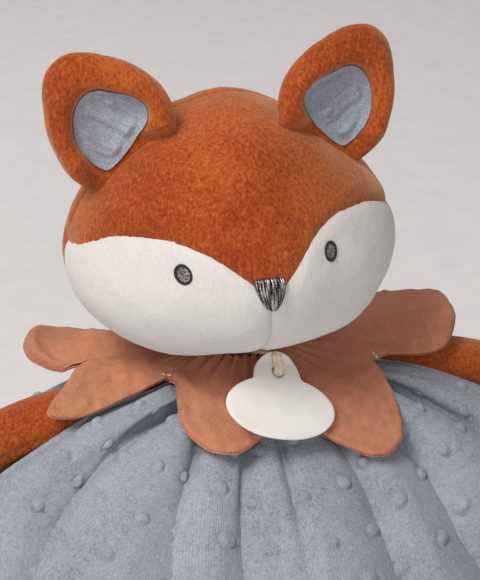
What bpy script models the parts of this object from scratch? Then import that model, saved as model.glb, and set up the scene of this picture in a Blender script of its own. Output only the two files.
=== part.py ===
"""A comfort blanket lovey: a stuffed fox head on a gathered neck, two arms, a collar of petals
and a doubled knit blanket that falls from the neck to the floor as a bell.

Metres, +Z up, the face towards -Y, the floor at Z = 0 and the neck on the Z axis."""

import math
from itertools import pairwise

import bmesh
import bpy
from mathutils import Matrix, Vector

# Gaps between neighbours
GAP = 0.0003
SEAM_GAP = 0.0004
SOCKET_GAP = 0.0007
OVERRUN = 0.03

# Head
HEAD_HALF_WIDTH = 0.0552
HEAD_HALF_DEPTH = 0.0435
HEAD_HALF_HEIGHT = 0.0450
CHIN_DROP = 0.0027
HEAD_FORWARD = 0.005
HEAD_ASIDE = 0.0045
HEAD_TILT = math.radians(4)
HEAD_LOOK_ASIDE = math.radians(5)
HEAD_SLANT_SHARE = 0.05
CROWN_TAPER_SHARES = (0.22, 0.09)
PLUSH = 0.0025
MUZZLE_REACH = 0.008
MUZZLE_SPREAD = 0.027
MUZZLE_DROP = 0.011
SIDE_SEAM_BACK = 0.007
CHEEK_TOP_SHARES = (
    (0.0, -0.02), (0.08, 0.02), (0.16, 0.09), (0.28, 0.165), (0.39, 0.21),
    (0.54, 0.235), (0.74, 0.21), (0.88, 0.12), (1.0, 0.0), (1.2, -0.2),
)

# Embroidery
EYE_WIDTH = 0.0068
EYE_HEIGHT = 0.0078
EYE_SPACING = 0.0485
EYE_RISE = 0.0009
EYE_ASIDE = 0.0010
NOSE_WIDTH = 0.0099
NOSE_HEIGHT = 0.0114
NOSE_DROP = 0.0066
NOSE_PINCH_SHARE = 0.38
STITCH_RISE = 0.0012
STITCH_COLUMNS = 20
# Steps out from the middle of a patch, and how far round its swelling is at the edge
STITCH_STEP_SHARES = (0.0, 0.45, 0.8, 1.0)
STITCH_EDGE_SHARE = 0.94

# Ears
EAR_WIDTH = 0.0445
EAR_HEIGHT = 0.0435
EAR_THICKNESS = 0.0145
EAR_PLACE_SHARE = 0.584
EAR_LEVEL_SHARE = 0.600
EAR_SKEW = 0.0012
EAR_FORWARD = 0.006
EAR_LEAN = math.radians(24)
EAR_TOE_OUT = math.radians(8)
EAR_FOLD = math.radians(15)
EAR_LINING_CLOTH = 0.0012
EAR_ROOT_SHARE = 0.36
EAR_TAPER_SHARE = 0.25
EAR_CUP_DROP = 0.0045
EAR_CUP_ASIDE = 0.0018

# Neck
NECK_LEVEL = 0.100
PIVOT_RISE = 0.0075
NECK_BALL_RADIUS = 0.012
NECK_RADIUS = 0.009
BINDING_RADIUS = 0.018
BINDING_HEIGHT = 0.0075
BINDING_DROP = 0.0015
BINDING_SOFT_SHARE = 0.125

# Collar
COLLAR_CLOTH = 0.0009
COLLAR_INNER_RADIUS = 0.0138
COLLAR_RISE = 0.0012
COLLAR_REACH = 0.0625
COLLAR_DROP = 0.027
COLLAR_BULGE = 0.0016
COLLAR_REST = 0.0030
COLLAR_EASE = 0.0024
# Start angle in degrees from the front, then shares: notch reach, tip reach, tip drop, arch
PETAL_SHARES = (
    (-134, 0.63, 1.04, 0.38, 0.26),
    (-95, 0.60, 1.00, 0.46, 0.14),
    (-70, 0.36, 0.60, 0.80, 0.10),
    (1, 0.28, 0.73, 1.00, 0.06),
    (68, 0.54, 1.09, 0.16, 0.16),
    (126, 0.60, 0.96, 0.28, 0.10),
    (177, 0.56, 0.96, 0.28, 0.10),
)
PETAL_COLUMNS = 10
PETAL_ROUNDNESS = 0.75
COLLAR_DROOP = 1.0
COLLAR_ROWS = 5

# Blanket
HEM_HALF_WIDTH = 0.130
HEM_HALF_DEPTH = 0.108
BLANKET_CLOTH = 0.0014
LINING_CLOTH = 0.001
LINING_LIFT = 0.0012
FOLD_DEPTH = 0.0095
SEAM_HALF_GAP = 0.0006
LAYER_GAP = 0.0013
# Shares of the neck's level, of the spread in width and of the spread in depth
BELL_SHARES = (
    (0.945, 0.0, 0.0),
    (0.915, 0.18, 0.055),
    (0.875, 0.375, 0.11),
    (0.81, 0.545, 0.193),
    (0.68, 0.745, 0.354),
    (0.53, 0.865, 0.488),
    (0.30, 0.955, 0.69),
    (0.0, 1.0, 1.0),
)
# Valleys of the folds as shares of a quarter turn from the panel's middle
FRONT_VALLEY_SHARES = (-1.0, -0.63, -0.29, -0.045, 0.19, 0.40, 0.66, 1.0)
BACK_VALLEY_SHARES = (-1.0, -0.69, -0.41, -0.13, 0.15, 0.42, 0.70, 1.0)
FOLD_COLUMNS = 5
# The arm's opening down the side seam: its start, its widening, its end and its narrowing
SLIT_SHARES = (-0.055, 0.22, 0.90, 0.12)
# Where the opening begins to widen from the sewn root to the paw, and over how far
SLIT_GROWTH_SHARES = (0.15, 0.35)
# How the folds deepen down the cloth and calm down beside the side seams
FOLD_GROWTH = 0.9
FOLD_CALM_SHARE = 0.6
FOLD_CALM_POWER = 6
BELL_ROWS = 10

# Arms
ARM_ROOT_RADIUS = 0.0088
ARM_RADIUS = 0.0105
PAW_RADIUS = 0.0122
ARM_PIVOT_OUT = 0.047
ARM_PIVOT_DROP = 0.0145
ARM_LENGTH = 0.082
ARM_START_SLOPE = math.radians(5)
ARM_END_SLOPE = math.radians(34)
ARM_SLIT_CLEARANCE = 0.0009
ARM_SEAT = 0.0009
ARM_RAISE = math.radians(4)
# How far along the arm it has its full thickness, and where it begins to swell to the paw
ARM_FULL_SHARE = 0.333
PAW_START_SHARE = 0.5

# Tag and its cord
TAG_WIDTH = 0.0395
TAG_HEIGHT = 0.0228
TAG_LOBE_RADIUS = 0.0078
TAG_HOLE_RADIUS = 0.0022
TAG_HOLE_INSET = 0.0050
TAG_THICKNESS = 0.0011
TAG_SLOPE = math.radians(41)
TAG_TWIST = math.radians(14)
TAG_FORWARD = 0.0314
TAG_LIFT = 0.0036
CORD_DIAMETER = 0.0017
CORD_SPREAD = 0.0013
CORD_TUCK_SHARE = 0.8
CORD_LIFT_SHARE = 1.6


def clear_scene():
    for obj in list(bpy.data.objects):
        bpy.data.objects.remove(obj, do_unlink=True)


def material(name, colour, roughness, metallic=0.0):
    made = bpy.data.materials.new(name)
    made.use_nodes = True
    shader = made.node_tree.nodes["Principled BSDF"]
    shader.inputs["Base Color"].default_value = (*colour, 1.0)
    shader.inputs["Roughness"].default_value = roughness
    shader.inputs["Metallic"].default_value = metallic
    return made


def empty(name, place, rotation=(0, 0, 0), parent=None):
    made = bpy.data.objects.new(name, None)
    bpy.context.scene.collection.objects.link(made)
    made.location = place
    made.rotation_euler = rotation
    made.parent = parent
    return made


def add_mesh(name, points, faces, finish=None, parent=None):
    mesh = bpy.data.meshes.new(name)
    mesh.from_pydata([tuple(p) for p in points], [], faces)
    build = bmesh.new()
    build.from_mesh(mesh)
    bmesh.ops.recalc_face_normals(build, faces=build.faces)
    build.to_mesh(mesh)
    build.free()
    mesh.shade_smooth()
    if finish:
        mesh.materials.append(finish)
    obj = bpy.data.objects.new(name, mesh)
    bpy.context.scene.collection.objects.link(obj)
    obj.parent = parent
    return obj


def skin(rings):
    """Points and faces of a closed body through rings of equal count; a ring of one point is a tip."""
    points = [p for ring in rings for p in ring]
    starts = [sum(len(r) for r in rings[:i]) for i in range(len(rings))]
    faces = []
    for (a, low), (b, high) in pairwise(zip(starts, rings)):
        count = max(len(low), len(high))
        for i in range(count):
            j = (i + 1) % count
            if len(low) == 1:
                faces.append((a, b + j, b + i))
            elif len(high) == 1:
                faces.append((a + i, a + j, b))
            else:
                faces.append((a + i, a + j, b + j, b + i))
    for start, ring in ((starts[0], rings[0]), (starts[-1], rings[-1])):
        if len(ring) > 1:
            faces.append(tuple(range(start, start + len(ring))))
    return points, faces


def combine(target, cutter, operation):
    """Applies one Boolean to target's mesh, and removes the cutter."""
    change = target.modifiers.new(operation.lower(), "BOOLEAN")
    change.operation = operation
    change.solver = "EXACT"
    change.object = cutter
    bpy.context.view_layer.update()
    graph = bpy.context.evaluated_depsgraph_get()
    mesh = bpy.data.meshes.new_from_object(target.evaluated_get(graph))
    target.modifiers.clear()
    target.data = mesh
    bpy.data.objects.remove(cutter, do_unlink=True)
    return target


def smooth_through(table, at):
    """The row of a table at a place counted in rows, on a smooth curve through the rows."""
    low = min(int(at), len(table) - 2)
    t = at - low
    before, start, end, after = (
        table[max(0, min(len(table) - 1, low + k))] for k in (-1, 0, 1, 2)
    )
    return [
        (2 * b + (c - a) * t + (2 * a - 5 * b + 4 * c - d) * t * t
         + (3 * b - a - 3 * c + d) * t ** 3) / 2
        for a, b, c, d in zip(before, start, end, after)
    ]


def ease(t):
    t = min(1.0, max(0.0, t))
    return t * t * (3 - 2 * t)


# Head, in a frame whose origin is the nodding pivot and whose Z runs up through the crown
HEAD_CENTRE = Vector((-HEAD_ASIDE, -HEAD_FORWARD, HEAD_HALF_HEIGHT - CHIN_DROP))
HEAD_COLUMNS = 32
HEAD_ROWS = 18
CHEEK_STEPS = 3


def muzzle(x, z):
    """How far the snout swells forward of the ball of the head."""
    spread = (x * x + (z + MUZZLE_DROP) ** 2) / MUZZLE_SPREAD ** 2
    return MUZZLE_REACH * math.exp(-spread)


def crown_factor(rise_share):
    linear, square = CROWN_TAPER_SHARES
    return 1 - linear * rise_share - square * rise_share ** 2


def slant(z):
    """How far the soft head's crown is pulled aside at a height from its centre."""
    return HEAD_SLANT_SHARE * z


def head_point(longitude, latitude, inset):
    side = math.cos(latitude) * math.sin(longitude)
    back = math.cos(latitude) * math.cos(longitude)
    rise = math.sin(latitude)
    x = (HEAD_HALF_WIDTH - inset) * side * crown_factor(rise)
    y = (HEAD_HALF_DEPTH - inset) * back
    z = (HEAD_HALF_HEIGHT - inset) * rise
    if back < 0:
        y -= muzzle(x, z) * min(1.0, -2 * back)
    return HEAD_CENTRE + Vector((x - slant(z), y, z))


def head_rings(inset):
    rings = [[head_point(0, -math.pi / 2, inset)]]
    for row in range(1, HEAD_ROWS):
        latitude = math.pi * (row / HEAD_ROWS - 1 / 2)
        rings.append([
            head_point(2 * math.pi * column / HEAD_COLUMNS, latitude, inset)
            for column in range(HEAD_COLUMNS)
        ])
    rings.append([head_point(0, math.pi / 2, inset)])
    return rings


def face_depth(x, z):
    """Y of the head's front surface at a place x to the side and z above the head's centre."""
    rise = z / HEAD_HALF_HEIGHT
    side = x / (HEAD_HALF_WIDTH * crown_factor(rise))
    back = -math.sqrt(max(0.0, 1 - rise ** 2 - side ** 2))
    return HEAD_CENTRE.y + HEAD_HALF_DEPTH * back - muzzle(x, z) * min(1.0, -2 * back)


def ball(name, radius, centre, columns=24, rows=14):
    rings = [[centre - Vector((0, 0, radius))]]
    for row in range(1, rows):
        latitude = math.pi * (row / rows - 1 / 2)
        rings.append([
            centre + radius * Vector((
                math.cos(latitude) * math.cos(2 * math.pi * i / columns),
                math.cos(latitude) * math.sin(2 * math.pi * i / columns),
                math.sin(latitude),
            ))
            for i in range(columns)
        ])
    rings.append([centre + Vector((0, 0, radius))])
    return add_mesh(name, *skin(rings))


def cheek_line(side_shares):
    """The seam between brow and cheek, as places x and z from the head's centre."""
    steps = CHEEK_STEPS * (len(CHEEK_TOP_SHARES) - 1)
    line = [smooth_through(CHEEK_TOP_SHARES, i / CHEEK_STEPS) for i in range(steps + 1)]
    return [(side_shares * x * HEAD_HALF_WIDTH, z * HEAD_HALF_HEIGHT) for x, z in line]


def prism(name, outline, front, back, parent):
    """A closed outline in X and Z from the head's centre, drawn out from front to back in Y."""
    rings = [
        [HEAD_CENTRE + Vector((x - slant(z), y, z)) for x, z in outline] for y in (front, back)
    ]
    return add_mesh(name, *skin(rings), parent=parent)


def head_panel(name, cutter, plush, head):
    """The part of the head's plush shell that lies inside the cutter, opened at the neck."""
    panel = add_mesh(name, *skin(head_rings(0)), plush, head)
    combine(panel, cutter, "INTERSECT")
    combine(panel, add_mesh("head_inside", *skin(head_rings(PLUSH)), parent=head), "DIFFERENCE")
    return open_at_neck(panel, head)


def open_at_neck(piece, head):
    socket = ball("socket", NECK_BALL_RADIUS + SOCKET_GAP, Vector((0, 0, 0)))
    socket.parent = head
    return combine(piece, socket, "DIFFERENCE")


def make_head(head, orange, white, stuffing):
    far = HEAD_HALF_DEPTH + OVERRUN
    side = HEAD_HALF_WIDTH + OVERRUN
    low = -HEAD_HALF_HEIGHT - OVERRUN
    high = HEAD_HALF_HEIGHT + OVERRUN
    seam = SIDE_SEAM_BACK - SEAM_GAP / 2
    for name, sign in (("cheek_left", -1), ("cheek_right", 1)):
        line = [
            (x, z - SEAM_GAP / 2) for x, z in cheek_line(sign) if abs(x) > SEAM_GAP
        ]
        inner = (sign * SEAM_GAP / 2, line[0][1])
        outline = [(sign * SEAM_GAP / 2, low), inner, *line, (line[-1][0], low)]
        head_panel(name, prism("cheek_cut", outline, -far, seam, head), white, head)
    right = [(x, z + SEAM_GAP / 2) for x, z in cheek_line(1)]
    left = [(-x, z) for x, z in right[1:]]
    outline = [*reversed(left), *right, (side, high), (-side, high)]
    cut = prism("brow_cut", outline, -far, seam, head)
    head_panel("forehead_panel", cut, orange, head)
    outline = [(-side, low), (side, low), (side, high), (-side, high)]
    cut = prism("back_cut", outline, SIDE_SEAM_BACK + SEAM_GAP / 2, far, head)
    head_panel("head_back_panel", cut, orange, head)
    filling = add_mesh("head_filling", *skin(head_rings(PLUSH + GAP)), stuffing, head)
    open_at_neck(filling, head)


def embroidery(name, centre, half_width, half_height, pinch_share, thread, head):
    """A low padded patch of stitches that follows the face. pinch_share narrows its lower end."""
    front, back = [], []
    for share in STITCH_STEP_SHARES:
        rise = STITCH_RISE * math.sqrt(1 - (share * STITCH_EDGE_SHARE) ** 2)
        outer, inner = [], []
        for i in range(STITCH_COLUMNS if share else 1):
            turn = 2 * math.pi * i / STITCH_COLUMNS
            up = math.cos(turn)
            x = centre[0] + share * half_width * math.sin(turn) * (1 + pinch_share * up)
            z = centre[1] + share * half_height * up
            y = face_depth(x, z) - GAP
            outer.append(Vector((HEAD_CENTRE.x + x - slant(z), y - rise, HEAD_CENTRE.z + z)))
            inner.append(Vector((HEAD_CENTRE.x + x - slant(z), y, HEAD_CENTRE.z + z)))
        front.append(outer)
        back.append(inner)
    add_mesh(name, *skin([*front, *reversed(back)]), thread, head)


def make_face(head, thread, metal_thread):
    for name, sign in (("eye_left", -1), ("eye_right", 1)):
        place = (sign * EYE_SPACING / 2 - EYE_ASIDE, EYE_RISE)
        embroidery(name, place, EYE_WIDTH / 2, EYE_HEIGHT / 2, 0.0, thread, head)
    place = (0.0, -NOSE_DROP)
    embroidery("nose", place, NOSE_WIDTH / 2, NOSE_HEIGHT / 2, NOSE_PINCH_SHARE, metal_thread, head)


# An ear's profile from the middle of its back, over the rim and down to the cup's floor: shares
# of the outline's reach, of the thickness with the front at negative depth, and of the way that
# the cup's middle lies below the ear's and nearer the head's
EAR_PROFILE_SHARES = (
    (0.0, 0.30, 0.0), (0.45, 0.36, 0.0), (0.78, 0.27, 0.0), (0.95, 0.06, 0.0),
    (1.0, -0.16, 0.0), (0.92, -0.42, 0.1), (0.77, -0.52, 0.4), (0.62, -0.42, 0.8),
    (0.52, -0.12, 1.0), (0.28, 0.03, 1.0), (0.0, 0.05, 1.0),
)
EAR_CUP_ROWS = 3
EAR_COLUMNS = 22


def ear_reach(turn):
    """Distance from the ear's middle to its outline, at a turn from the tip."""
    up = math.cos(turn)
    side = math.sin(turn)
    narrow = 1 - EAR_TAPER_SHARE * ease(up)
    half_width = EAR_WIDTH / 2
    above = EAR_HEIGHT * (1 - EAR_ROOT_SHARE)
    return 1 / math.sqrt((side / (half_width * narrow)) ** 2 + (up / above) ** 2)


def ear_ring(sign, row, forward=0.0, shrink=0.0):
    """A ring of the ear's profile, moved forward and made smaller by two clearances."""
    reach_share, depth_share, cup_share = row
    ring = []
    for i in range(EAR_COLUMNS if reach_share else 1):
        turn = 2 * math.pi * i / EAR_COLUMNS
        reach = max(0.0, ear_reach(turn) * reach_share - shrink)
        ring.append(Vector((
            reach * math.sin(turn) - sign * EAR_CUP_ASIDE * cup_share,
            EAR_THICKNESS * depth_share - forward,
            EAR_HEIGHT * EAR_ROOT_SHARE + reach * math.cos(turn) - EAR_CUP_DROP * cup_share,
        )))
    return ring


def head_cutter(ear, head, fold):
    """The head's outside, as it lies when the ear has turned by fold, in the ear's own frame."""
    cutter = add_mesh("head_outside", *skin(head_rings(-GAP)))
    turned = Matrix.Rotation(-fold, 4, "X")
    bpy.context.view_layer.update()
    cutter.data.transform(turned @ ear.matrix_world.inverted() @ head.matrix_world)
    cutter.parent = ear
    return cutter


def make_ear(side, sign, head, orange, knit):
    x = sign * EAR_PLACE_SHARE * HEAD_HALF_WIDTH
    z = EAR_LEVEL_SHARE * HEAD_HALF_HEIGHT - sign * EAR_SKEW
    place = Vector((HEAD_CENTRE.x + x - slant(z), face_depth(x, z) + EAR_FORWARD, HEAD_CENTRE.z + z))
    hinge = empty(f"ear_{side}_hinge", place, (0, sign * EAR_LEAN, sign * EAR_TOE_OUT), head)
    rings = [ear_ring(sign, row) for row in EAR_PROFILE_SHARES]
    ear = add_mesh(f"ear_{side}", *skin(rings), orange, hinge)
    cup = EAR_PROFILE_SHARES[-EAR_CUP_ROWS:]
    under = [ear_ring(sign, row, GAP, GAP) for row in cup]
    over = [ear_ring(sign, row, GAP + EAR_LINING_CLOTH, 2 * GAP) for row in cup]
    lining = add_mesh(f"ear_lining_{side}", *skin([*reversed(under), *over]), knit, hinge)
    for piece in (ear, lining):
        for fold in (0.0, EAR_FOLD, -EAR_FOLD):
            combine(piece, head_cutter(hinge, head, fold), "DIFFERENCE")


def turned_ring(radius, height, columns=24):
    return [
        Vector((
            radius * math.cos(2 * math.pi * i / columns),
            radius * math.sin(2 * math.pi * i / columns),
            height,
        ))
        for i in range(columns)
    ]


def make_neck(neck, gauze):
    """The stuffed neck: a ball inside the head on a stalk that drops through the binding."""
    foot = -PIVOT_RISE - BINDING_DROP - BINDING_HEIGHT
    meet = -math.sqrt(NECK_BALL_RADIUS ** 2 - NECK_RADIUS ** 2)
    rings = [turned_ring(NECK_RADIUS, foot), turned_ring(NECK_RADIUS, meet)]
    rows = 8
    start = math.asin(meet / NECK_BALL_RADIUS)
    for row in range(1, rows):
        latitude = start + (math.pi / 2 - start) * row / rows
        rings.append(turned_ring(
            NECK_BALL_RADIUS * math.cos(latitude), NECK_BALL_RADIUS * math.sin(latitude)
        ))
    rings.append([Vector((0, 0, NECK_BALL_RADIUS))])
    add_mesh("neck", *skin(rings), gauze, neck)


def make_binding(thread):
    """The ring that the neck turns in, with rounded edges, sewn to everything around it."""
    top = NECK_LEVEL - BINDING_DROP
    foot = top - BINDING_HEIGHT
    bore = NECK_RADIUS + GAP
    soft = BINDING_HEIGHT * BINDING_SOFT_SHARE
    outline = (
        (bore, foot), (BINDING_RADIUS - soft, foot), (BINDING_RADIUS, foot + soft),
        (BINDING_RADIUS, top - soft), (BINDING_RADIUS - soft, top), (bore, top),
    )
    rings = [turned_ring(radius, height) for radius, height in outline]
    points = [p for ring in rings for p in ring]
    columns = len(rings[0])
    faces = []
    for a in range(len(rings)):
        b = (a + 1) % len(rings)
        for i in range(columns):
            j = (i + 1) % columns
            faces.append((a * columns + i, a * columns + j, b * columns + j, b * columns + i))
    add_mesh("neck_binding", points, faces, thread)


def cloth(name, place, columns, rows, low, high, finish, closed=False, flat_hem=None):
    """A layer of cloth between two distances from a surface. place gives the surface's point at
    a column and a row. A closed one comes back round to its first column."""
    step = 0.01
    sides = []
    for away in (low, high):
        side = []
        for row in range(rows + 1):
            for column in range(columns + (not closed)):
                across = place(column + step, row) - place(column - step, row)
                down = place(column, row + step) - place(column, row - step)
                out = down.cross(across).normalized()
                point = place(column, row) + away * out
                if flat_hem is not None and row == rows:
                    point += down * (flat_hem - point.z) / down.z
                side.append(point)
        sides.append(side)
    wide = columns + (not closed)
    count = len(sides[0])
    faces = []
    for row in range(rows):
        for column in range(columns):
            beside = (column + 1) % wide
            a, b = row * wide + column, row * wide + beside
            c, d = a + wide, b + wide
            faces.append((a, c, d))
            faces.append((a, d, b))
            faces.append((count + a, count + d, count + c))
            faces.append((count + a, count + b, count + d))
    for row in (0, rows):
        for column in range(columns):
            a = row * wide + column
            b = row * wide + (column + 1) % wide
            faces.append((a, b, count + b, count + a))
    if not closed:
        for column in (0, columns):
            for row in range(rows):
                a = row * wide + column
                faces.append((a, a + wide, count + a + wide, count + a))
    return add_mesh(name, sides[0] + sides[1], faces, finish)


def petal_at(column):
    """(petal, share across it) at a column counted round the collar."""
    at = column / PETAL_COLUMNS
    petal = math.floor(at)
    return petal % len(PETAL_SHARES), at - petal


def collar_place(column, row):
    """A point midway between the collar's two layers."""
    petal, across = petal_at(column)
    here = PETAL_SHARES[petal]
    beside = PETAL_SHARES[(petal + 1) % len(PETAL_SHARES)]
    other = PETAL_SHARES[(petal + (1 if across > 0.5 else -1)) % len(PETAL_SHARES)]
    width = (beside[0] - here[0]) % 360
    angle = math.radians(here[0] + width * across)
    out = max(0.0, row / COLLAR_ROWS)
    hump = max(0.0, math.sin(math.pi * across)) ** PETAL_ROUNDNESS
    lean = ease(abs(across - 0.5))
    tip = here[2] + (other[2] - here[2]) * lean
    notch = here[1] + (beside[1] - here[1]) * across
    length = notch + (here[2] - notch) * hump
    drop = (here[3] + (other[3] - here[3]) * lean) * length / tip
    arch = here[4] * math.sin(math.pi * across) ** 2
    radius = COLLAR_INNER_RADIUS + COLLAR_REACH * out * length
    rise = COLLAR_DROP * (arch * out - drop * out ** COLLAR_DROOP)
    rise += COLLAR_BULGE * 4 * out * (1 - out)
    x = radius * math.sin(angle)
    y = -radius * math.cos(angle)
    under = COLLAR_REST + max(bell_crest(x, y), arm_crest(x, y))
    over = NECK_LEVEL + COLLAR_RISE + rise - under
    return Vector((x, y, under + (over + math.hypot(over, COLLAR_EASE)) / 2))


def make_collar(gauze):
    columns = PETAL_COLUMNS * len(PETAL_SHARES)
    for name, low, high in (
        ("collar_top", GAP / 2, GAP / 2 + COLLAR_CLOTH),
        ("collar_lining", -GAP / 2 - COLLAR_CLOTH, -GAP / 2),
    ):
        cloth(name, collar_place, columns, COLLAR_ROWS, low, high, gauze, closed=True)


def bell_size(down):
    """Height, half width and half depth of the bell at a share of the way down."""
    level, wide, deep = smooth_through(BELL_SHARES, down * (len(BELL_SHARES) - 1))
    neck = BINDING_RADIUS + GAP + BLANKET_CLOTH
    half_width = neck + (HEM_HALF_WIDTH - neck) * wide
    half_depth = neck + (HEM_HALF_DEPTH - neck) * deep
    return NECK_LEVEL * level, half_width, half_depth


def bell_crest(x, y):
    """Height of the folds' crests below a point of the collar."""
    low, high = 0.0, 1.0
    for _ in range(16):
        down = (low + high) / 2
        level, half_width, half_depth = bell_size(down)
        push = FOLD_DEPTH * down ** FOLD_GROWTH + BLANKET_CLOTH
        if math.hypot(x / (half_width + push), y / (half_depth + push)) > 1:
            low = down
        else:
            high = down
    return level


def bell_place(valleys, facing, column, row):
    """A point between the two layers of a blanket panel. facing is -1 in front and 1 behind."""
    down = min(1.0, max(0.0, row / BELL_ROWS))
    level, half_width, half_depth = bell_size(down)
    fold = min(len(valleys) - 2, max(0, int(column / FOLD_COLUMNS)))
    across = column / FOLD_COLUMNS - fold
    share = valleys[fold] + (valleys[fold + 1] - valleys[fold]) * across
    root = ARM_ROOT_RADIUS - ARM_SEAT
    slit = PAW_RADIUS + ARM_SLIT_CLEARANCE
    slit = root + (slit - root) * ease((down - SLIT_GROWTH_SHARES[0]) / SLIT_GROWTH_SHARES[1])
    opening = slit * ease((down - SLIT_SHARES[0]) / SLIT_SHARES[1])
    opening = opening * ease((SLIT_SHARES[2] - down) / SLIT_SHARES[3]) + SEAM_HALF_GAP
    edge = math.acos(min(1.0, opening / half_depth))
    angle = share * edge
    wave = 2 * math.sin(math.pi * min(1.0, max(0.0, across))) - 1
    push = FOLD_DEPTH * down ** FOLD_GROWTH * wave * (1 - FOLD_CALM_SHARE * abs(share) ** FOLD_CALM_POWER)
    x = half_width * math.sin(angle)
    y = half_depth * math.cos(angle)
    away = Vector((x / half_width ** 2, y / half_depth ** 2)).normalized()
    return Vector((x + push * away.x, facing * (y + push * away.y), level))


def make_blanket(knit, lining):
    columns = FOLD_COLUMNS * (len(FRONT_VALLEY_SHARES) - 1)
    for name, valleys, facing in (
        ("front", FRONT_VALLEY_SHARES, -1),
        ("back", BACK_VALLEY_SHARES, 1),
    ):
        def place(column, row):
            return bell_place(valleys, facing, column, row)

        outside = [LAYER_GAP / 2, LAYER_GAP / 2 + BLANKET_CLOTH]
        inside = [-LAYER_GAP / 2 - LINING_CLOTH, -LAYER_GAP / 2]
        if facing > 0:
            outside = [-d for d in reversed(outside)]
            inside = [-d for d in reversed(inside)]
        cloth(f"blanket_{name}", place, columns, BELL_ROWS, *outside, knit, flat_hem=0.0)
        cloth(
            f"lining_{name}", place, columns, BELL_ROWS, *inside, lining, flat_hem=LINING_LIFT
        )


ARM_STEPS = 8


def arm_line():
    """Steps along an arm from its pivot: way out, way down, slope and radius."""
    line = []
    out, down = 0.0, 0.0
    for step in range(ARM_STEPS + 1):
        along = step / ARM_STEPS
        slope = ARM_START_SLOPE + (ARM_END_SLOPE - ARM_START_SLOPE) * ease(along)
        if step:
            out += ARM_LENGTH / ARM_STEPS * math.cos(slope)
            down += ARM_LENGTH / ARM_STEPS * math.sin(slope)
        radius = ARM_ROOT_RADIUS + (ARM_RADIUS - ARM_ROOT_RADIUS) * ease(along / ARM_FULL_SHARE)
        swell = ease((along - PAW_START_SHARE) / (1 - PAW_START_SHARE))
        radius += (PAW_RADIUS - ARM_RADIUS) * swell
        line.append((out, down, slope, radius))
    return line


def arm_crest(x, y):
    """Height of an arm's upper side below a point of the collar, when the arm is raised."""
    out = abs(x) - ARM_PIVOT_OUT
    line = arm_line()
    near = min(line, key=lambda step: abs(step[0] - max(0.0, out)))
    wide = near[3] + COLLAR_REST
    if out < -wide or abs(y) > wide:
        return 0.0
    top = math.sqrt(max(0.0, wide ** 2 - y ** 2 - min(0.0, out) ** 2))
    return NECK_LEVEL - ARM_PIVOT_DROP - near[1] + top + max(0.0, out) * math.tan(ARM_RAISE)


def make_arm(side, sign, orange):
    """A stuffed arm that swells from its sewn root to the paw along a gently drooping line."""
    pivot = Vector((sign * ARM_PIVOT_OUT, 0, NECK_LEVEL - ARM_PIVOT_DROP))
    shoulder = empty(f"arm_{side}_shoulder", pivot)
    columns = 16
    rings = []

    def ring(centre, slope, radius):
        rise = Vector((-sign * math.sin(-slope), 0, math.cos(slope)))
        return [
            centre + radius * (
                math.cos(2 * math.pi * i / columns) * Vector((0, 1, 0))
                + math.sin(2 * math.pi * i / columns) * rise
            )
            for i in range(columns)
        ]

    outward = Vector((sign, 0, 0))
    rings.append([-ARM_ROOT_RADIUS * outward])
    for turn in (60, 30):
        back = ARM_ROOT_RADIUS * math.sin(math.radians(turn))
        rings.append(ring(-back * outward, 0, ARM_ROOT_RADIUS * math.cos(math.radians(turn))))
    for out, down, slope, radius in arm_line():
        centre = Vector((sign * out, 0, -down))
        rings.append(ring(centre, slope, radius))
    tip = Vector((sign * math.cos(slope), 0, -math.sin(slope)))
    for turn in (30, 60):
        away = centre + PAW_RADIUS * math.sin(math.radians(turn)) * tip
        rings.append(ring(away, slope, PAW_RADIUS * math.cos(math.radians(turn))))
    rings.append([centre + PAW_RADIUS * tip])
    add_mesh(f"arm_{side}", *skin(rings), orange, shoulder)


def tag_outline():
    """The tag's edge in its own plane, from the hole: an oval with a lobe towards the cord."""
    columns = 40
    lobe_centre = TAG_HEIGHT / 2
    points = []
    for i in range(columns):
        turn = 2 * math.pi * i / columns
        up, side = math.cos(turn), math.sin(turn)
        oval = 1 / math.hypot(2 * up / TAG_HEIGHT, 2 * side / TAG_WIDTH)
        inside = TAG_LOBE_RADIUS ** 2 - (lobe_centre * side) ** 2
        lobe = lobe_centre * up + math.sqrt(inside) if inside > 0 and up > 0 else 0
        reach = max(oval, lobe)
        points.append((reach * side, reach * up))
    hole = TAG_HEIGHT / 2 + TAG_LOBE_RADIUS - TAG_HOLE_INSET
    return [(x, z - hole) for x, z in points]


def make_tag(felt, cord):
    hinge = Vector((0, -TAG_FORWARD, NECK_LEVEL + TAG_LIFT))
    hang = empty("tag_hang", hinge, (-(math.pi / 2 - TAG_SLOPE), TAG_TWIST, 0))
    half = TAG_THICKNESS / 2
    outline = tag_outline()
    rings = [[Vector((x, y, z)) for x, z in outline] for y in (-half, half)]
    tag = add_mesh("tag", *skin(rings), felt, hang)
    tag.data.shade_flat()
    rings = [
        [
            Vector((
                TAG_HOLE_RADIUS * math.sin(2 * math.pi * i / 16), y,
                TAG_HOLE_RADIUS * math.cos(2 * math.pi * i / 16),
            ))
            for i in range(16)
        ]
        for y in (-OVERRUN, OVERRUN)
    ]
    combine(tag, add_mesh("tag_hole", *skin(rings), parent=hang), "DIFFERENCE")
    bpy.context.view_layer.update()
    make_tag_cord(hinge, hang.matrix_world.to_3x3(), cord)


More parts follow.
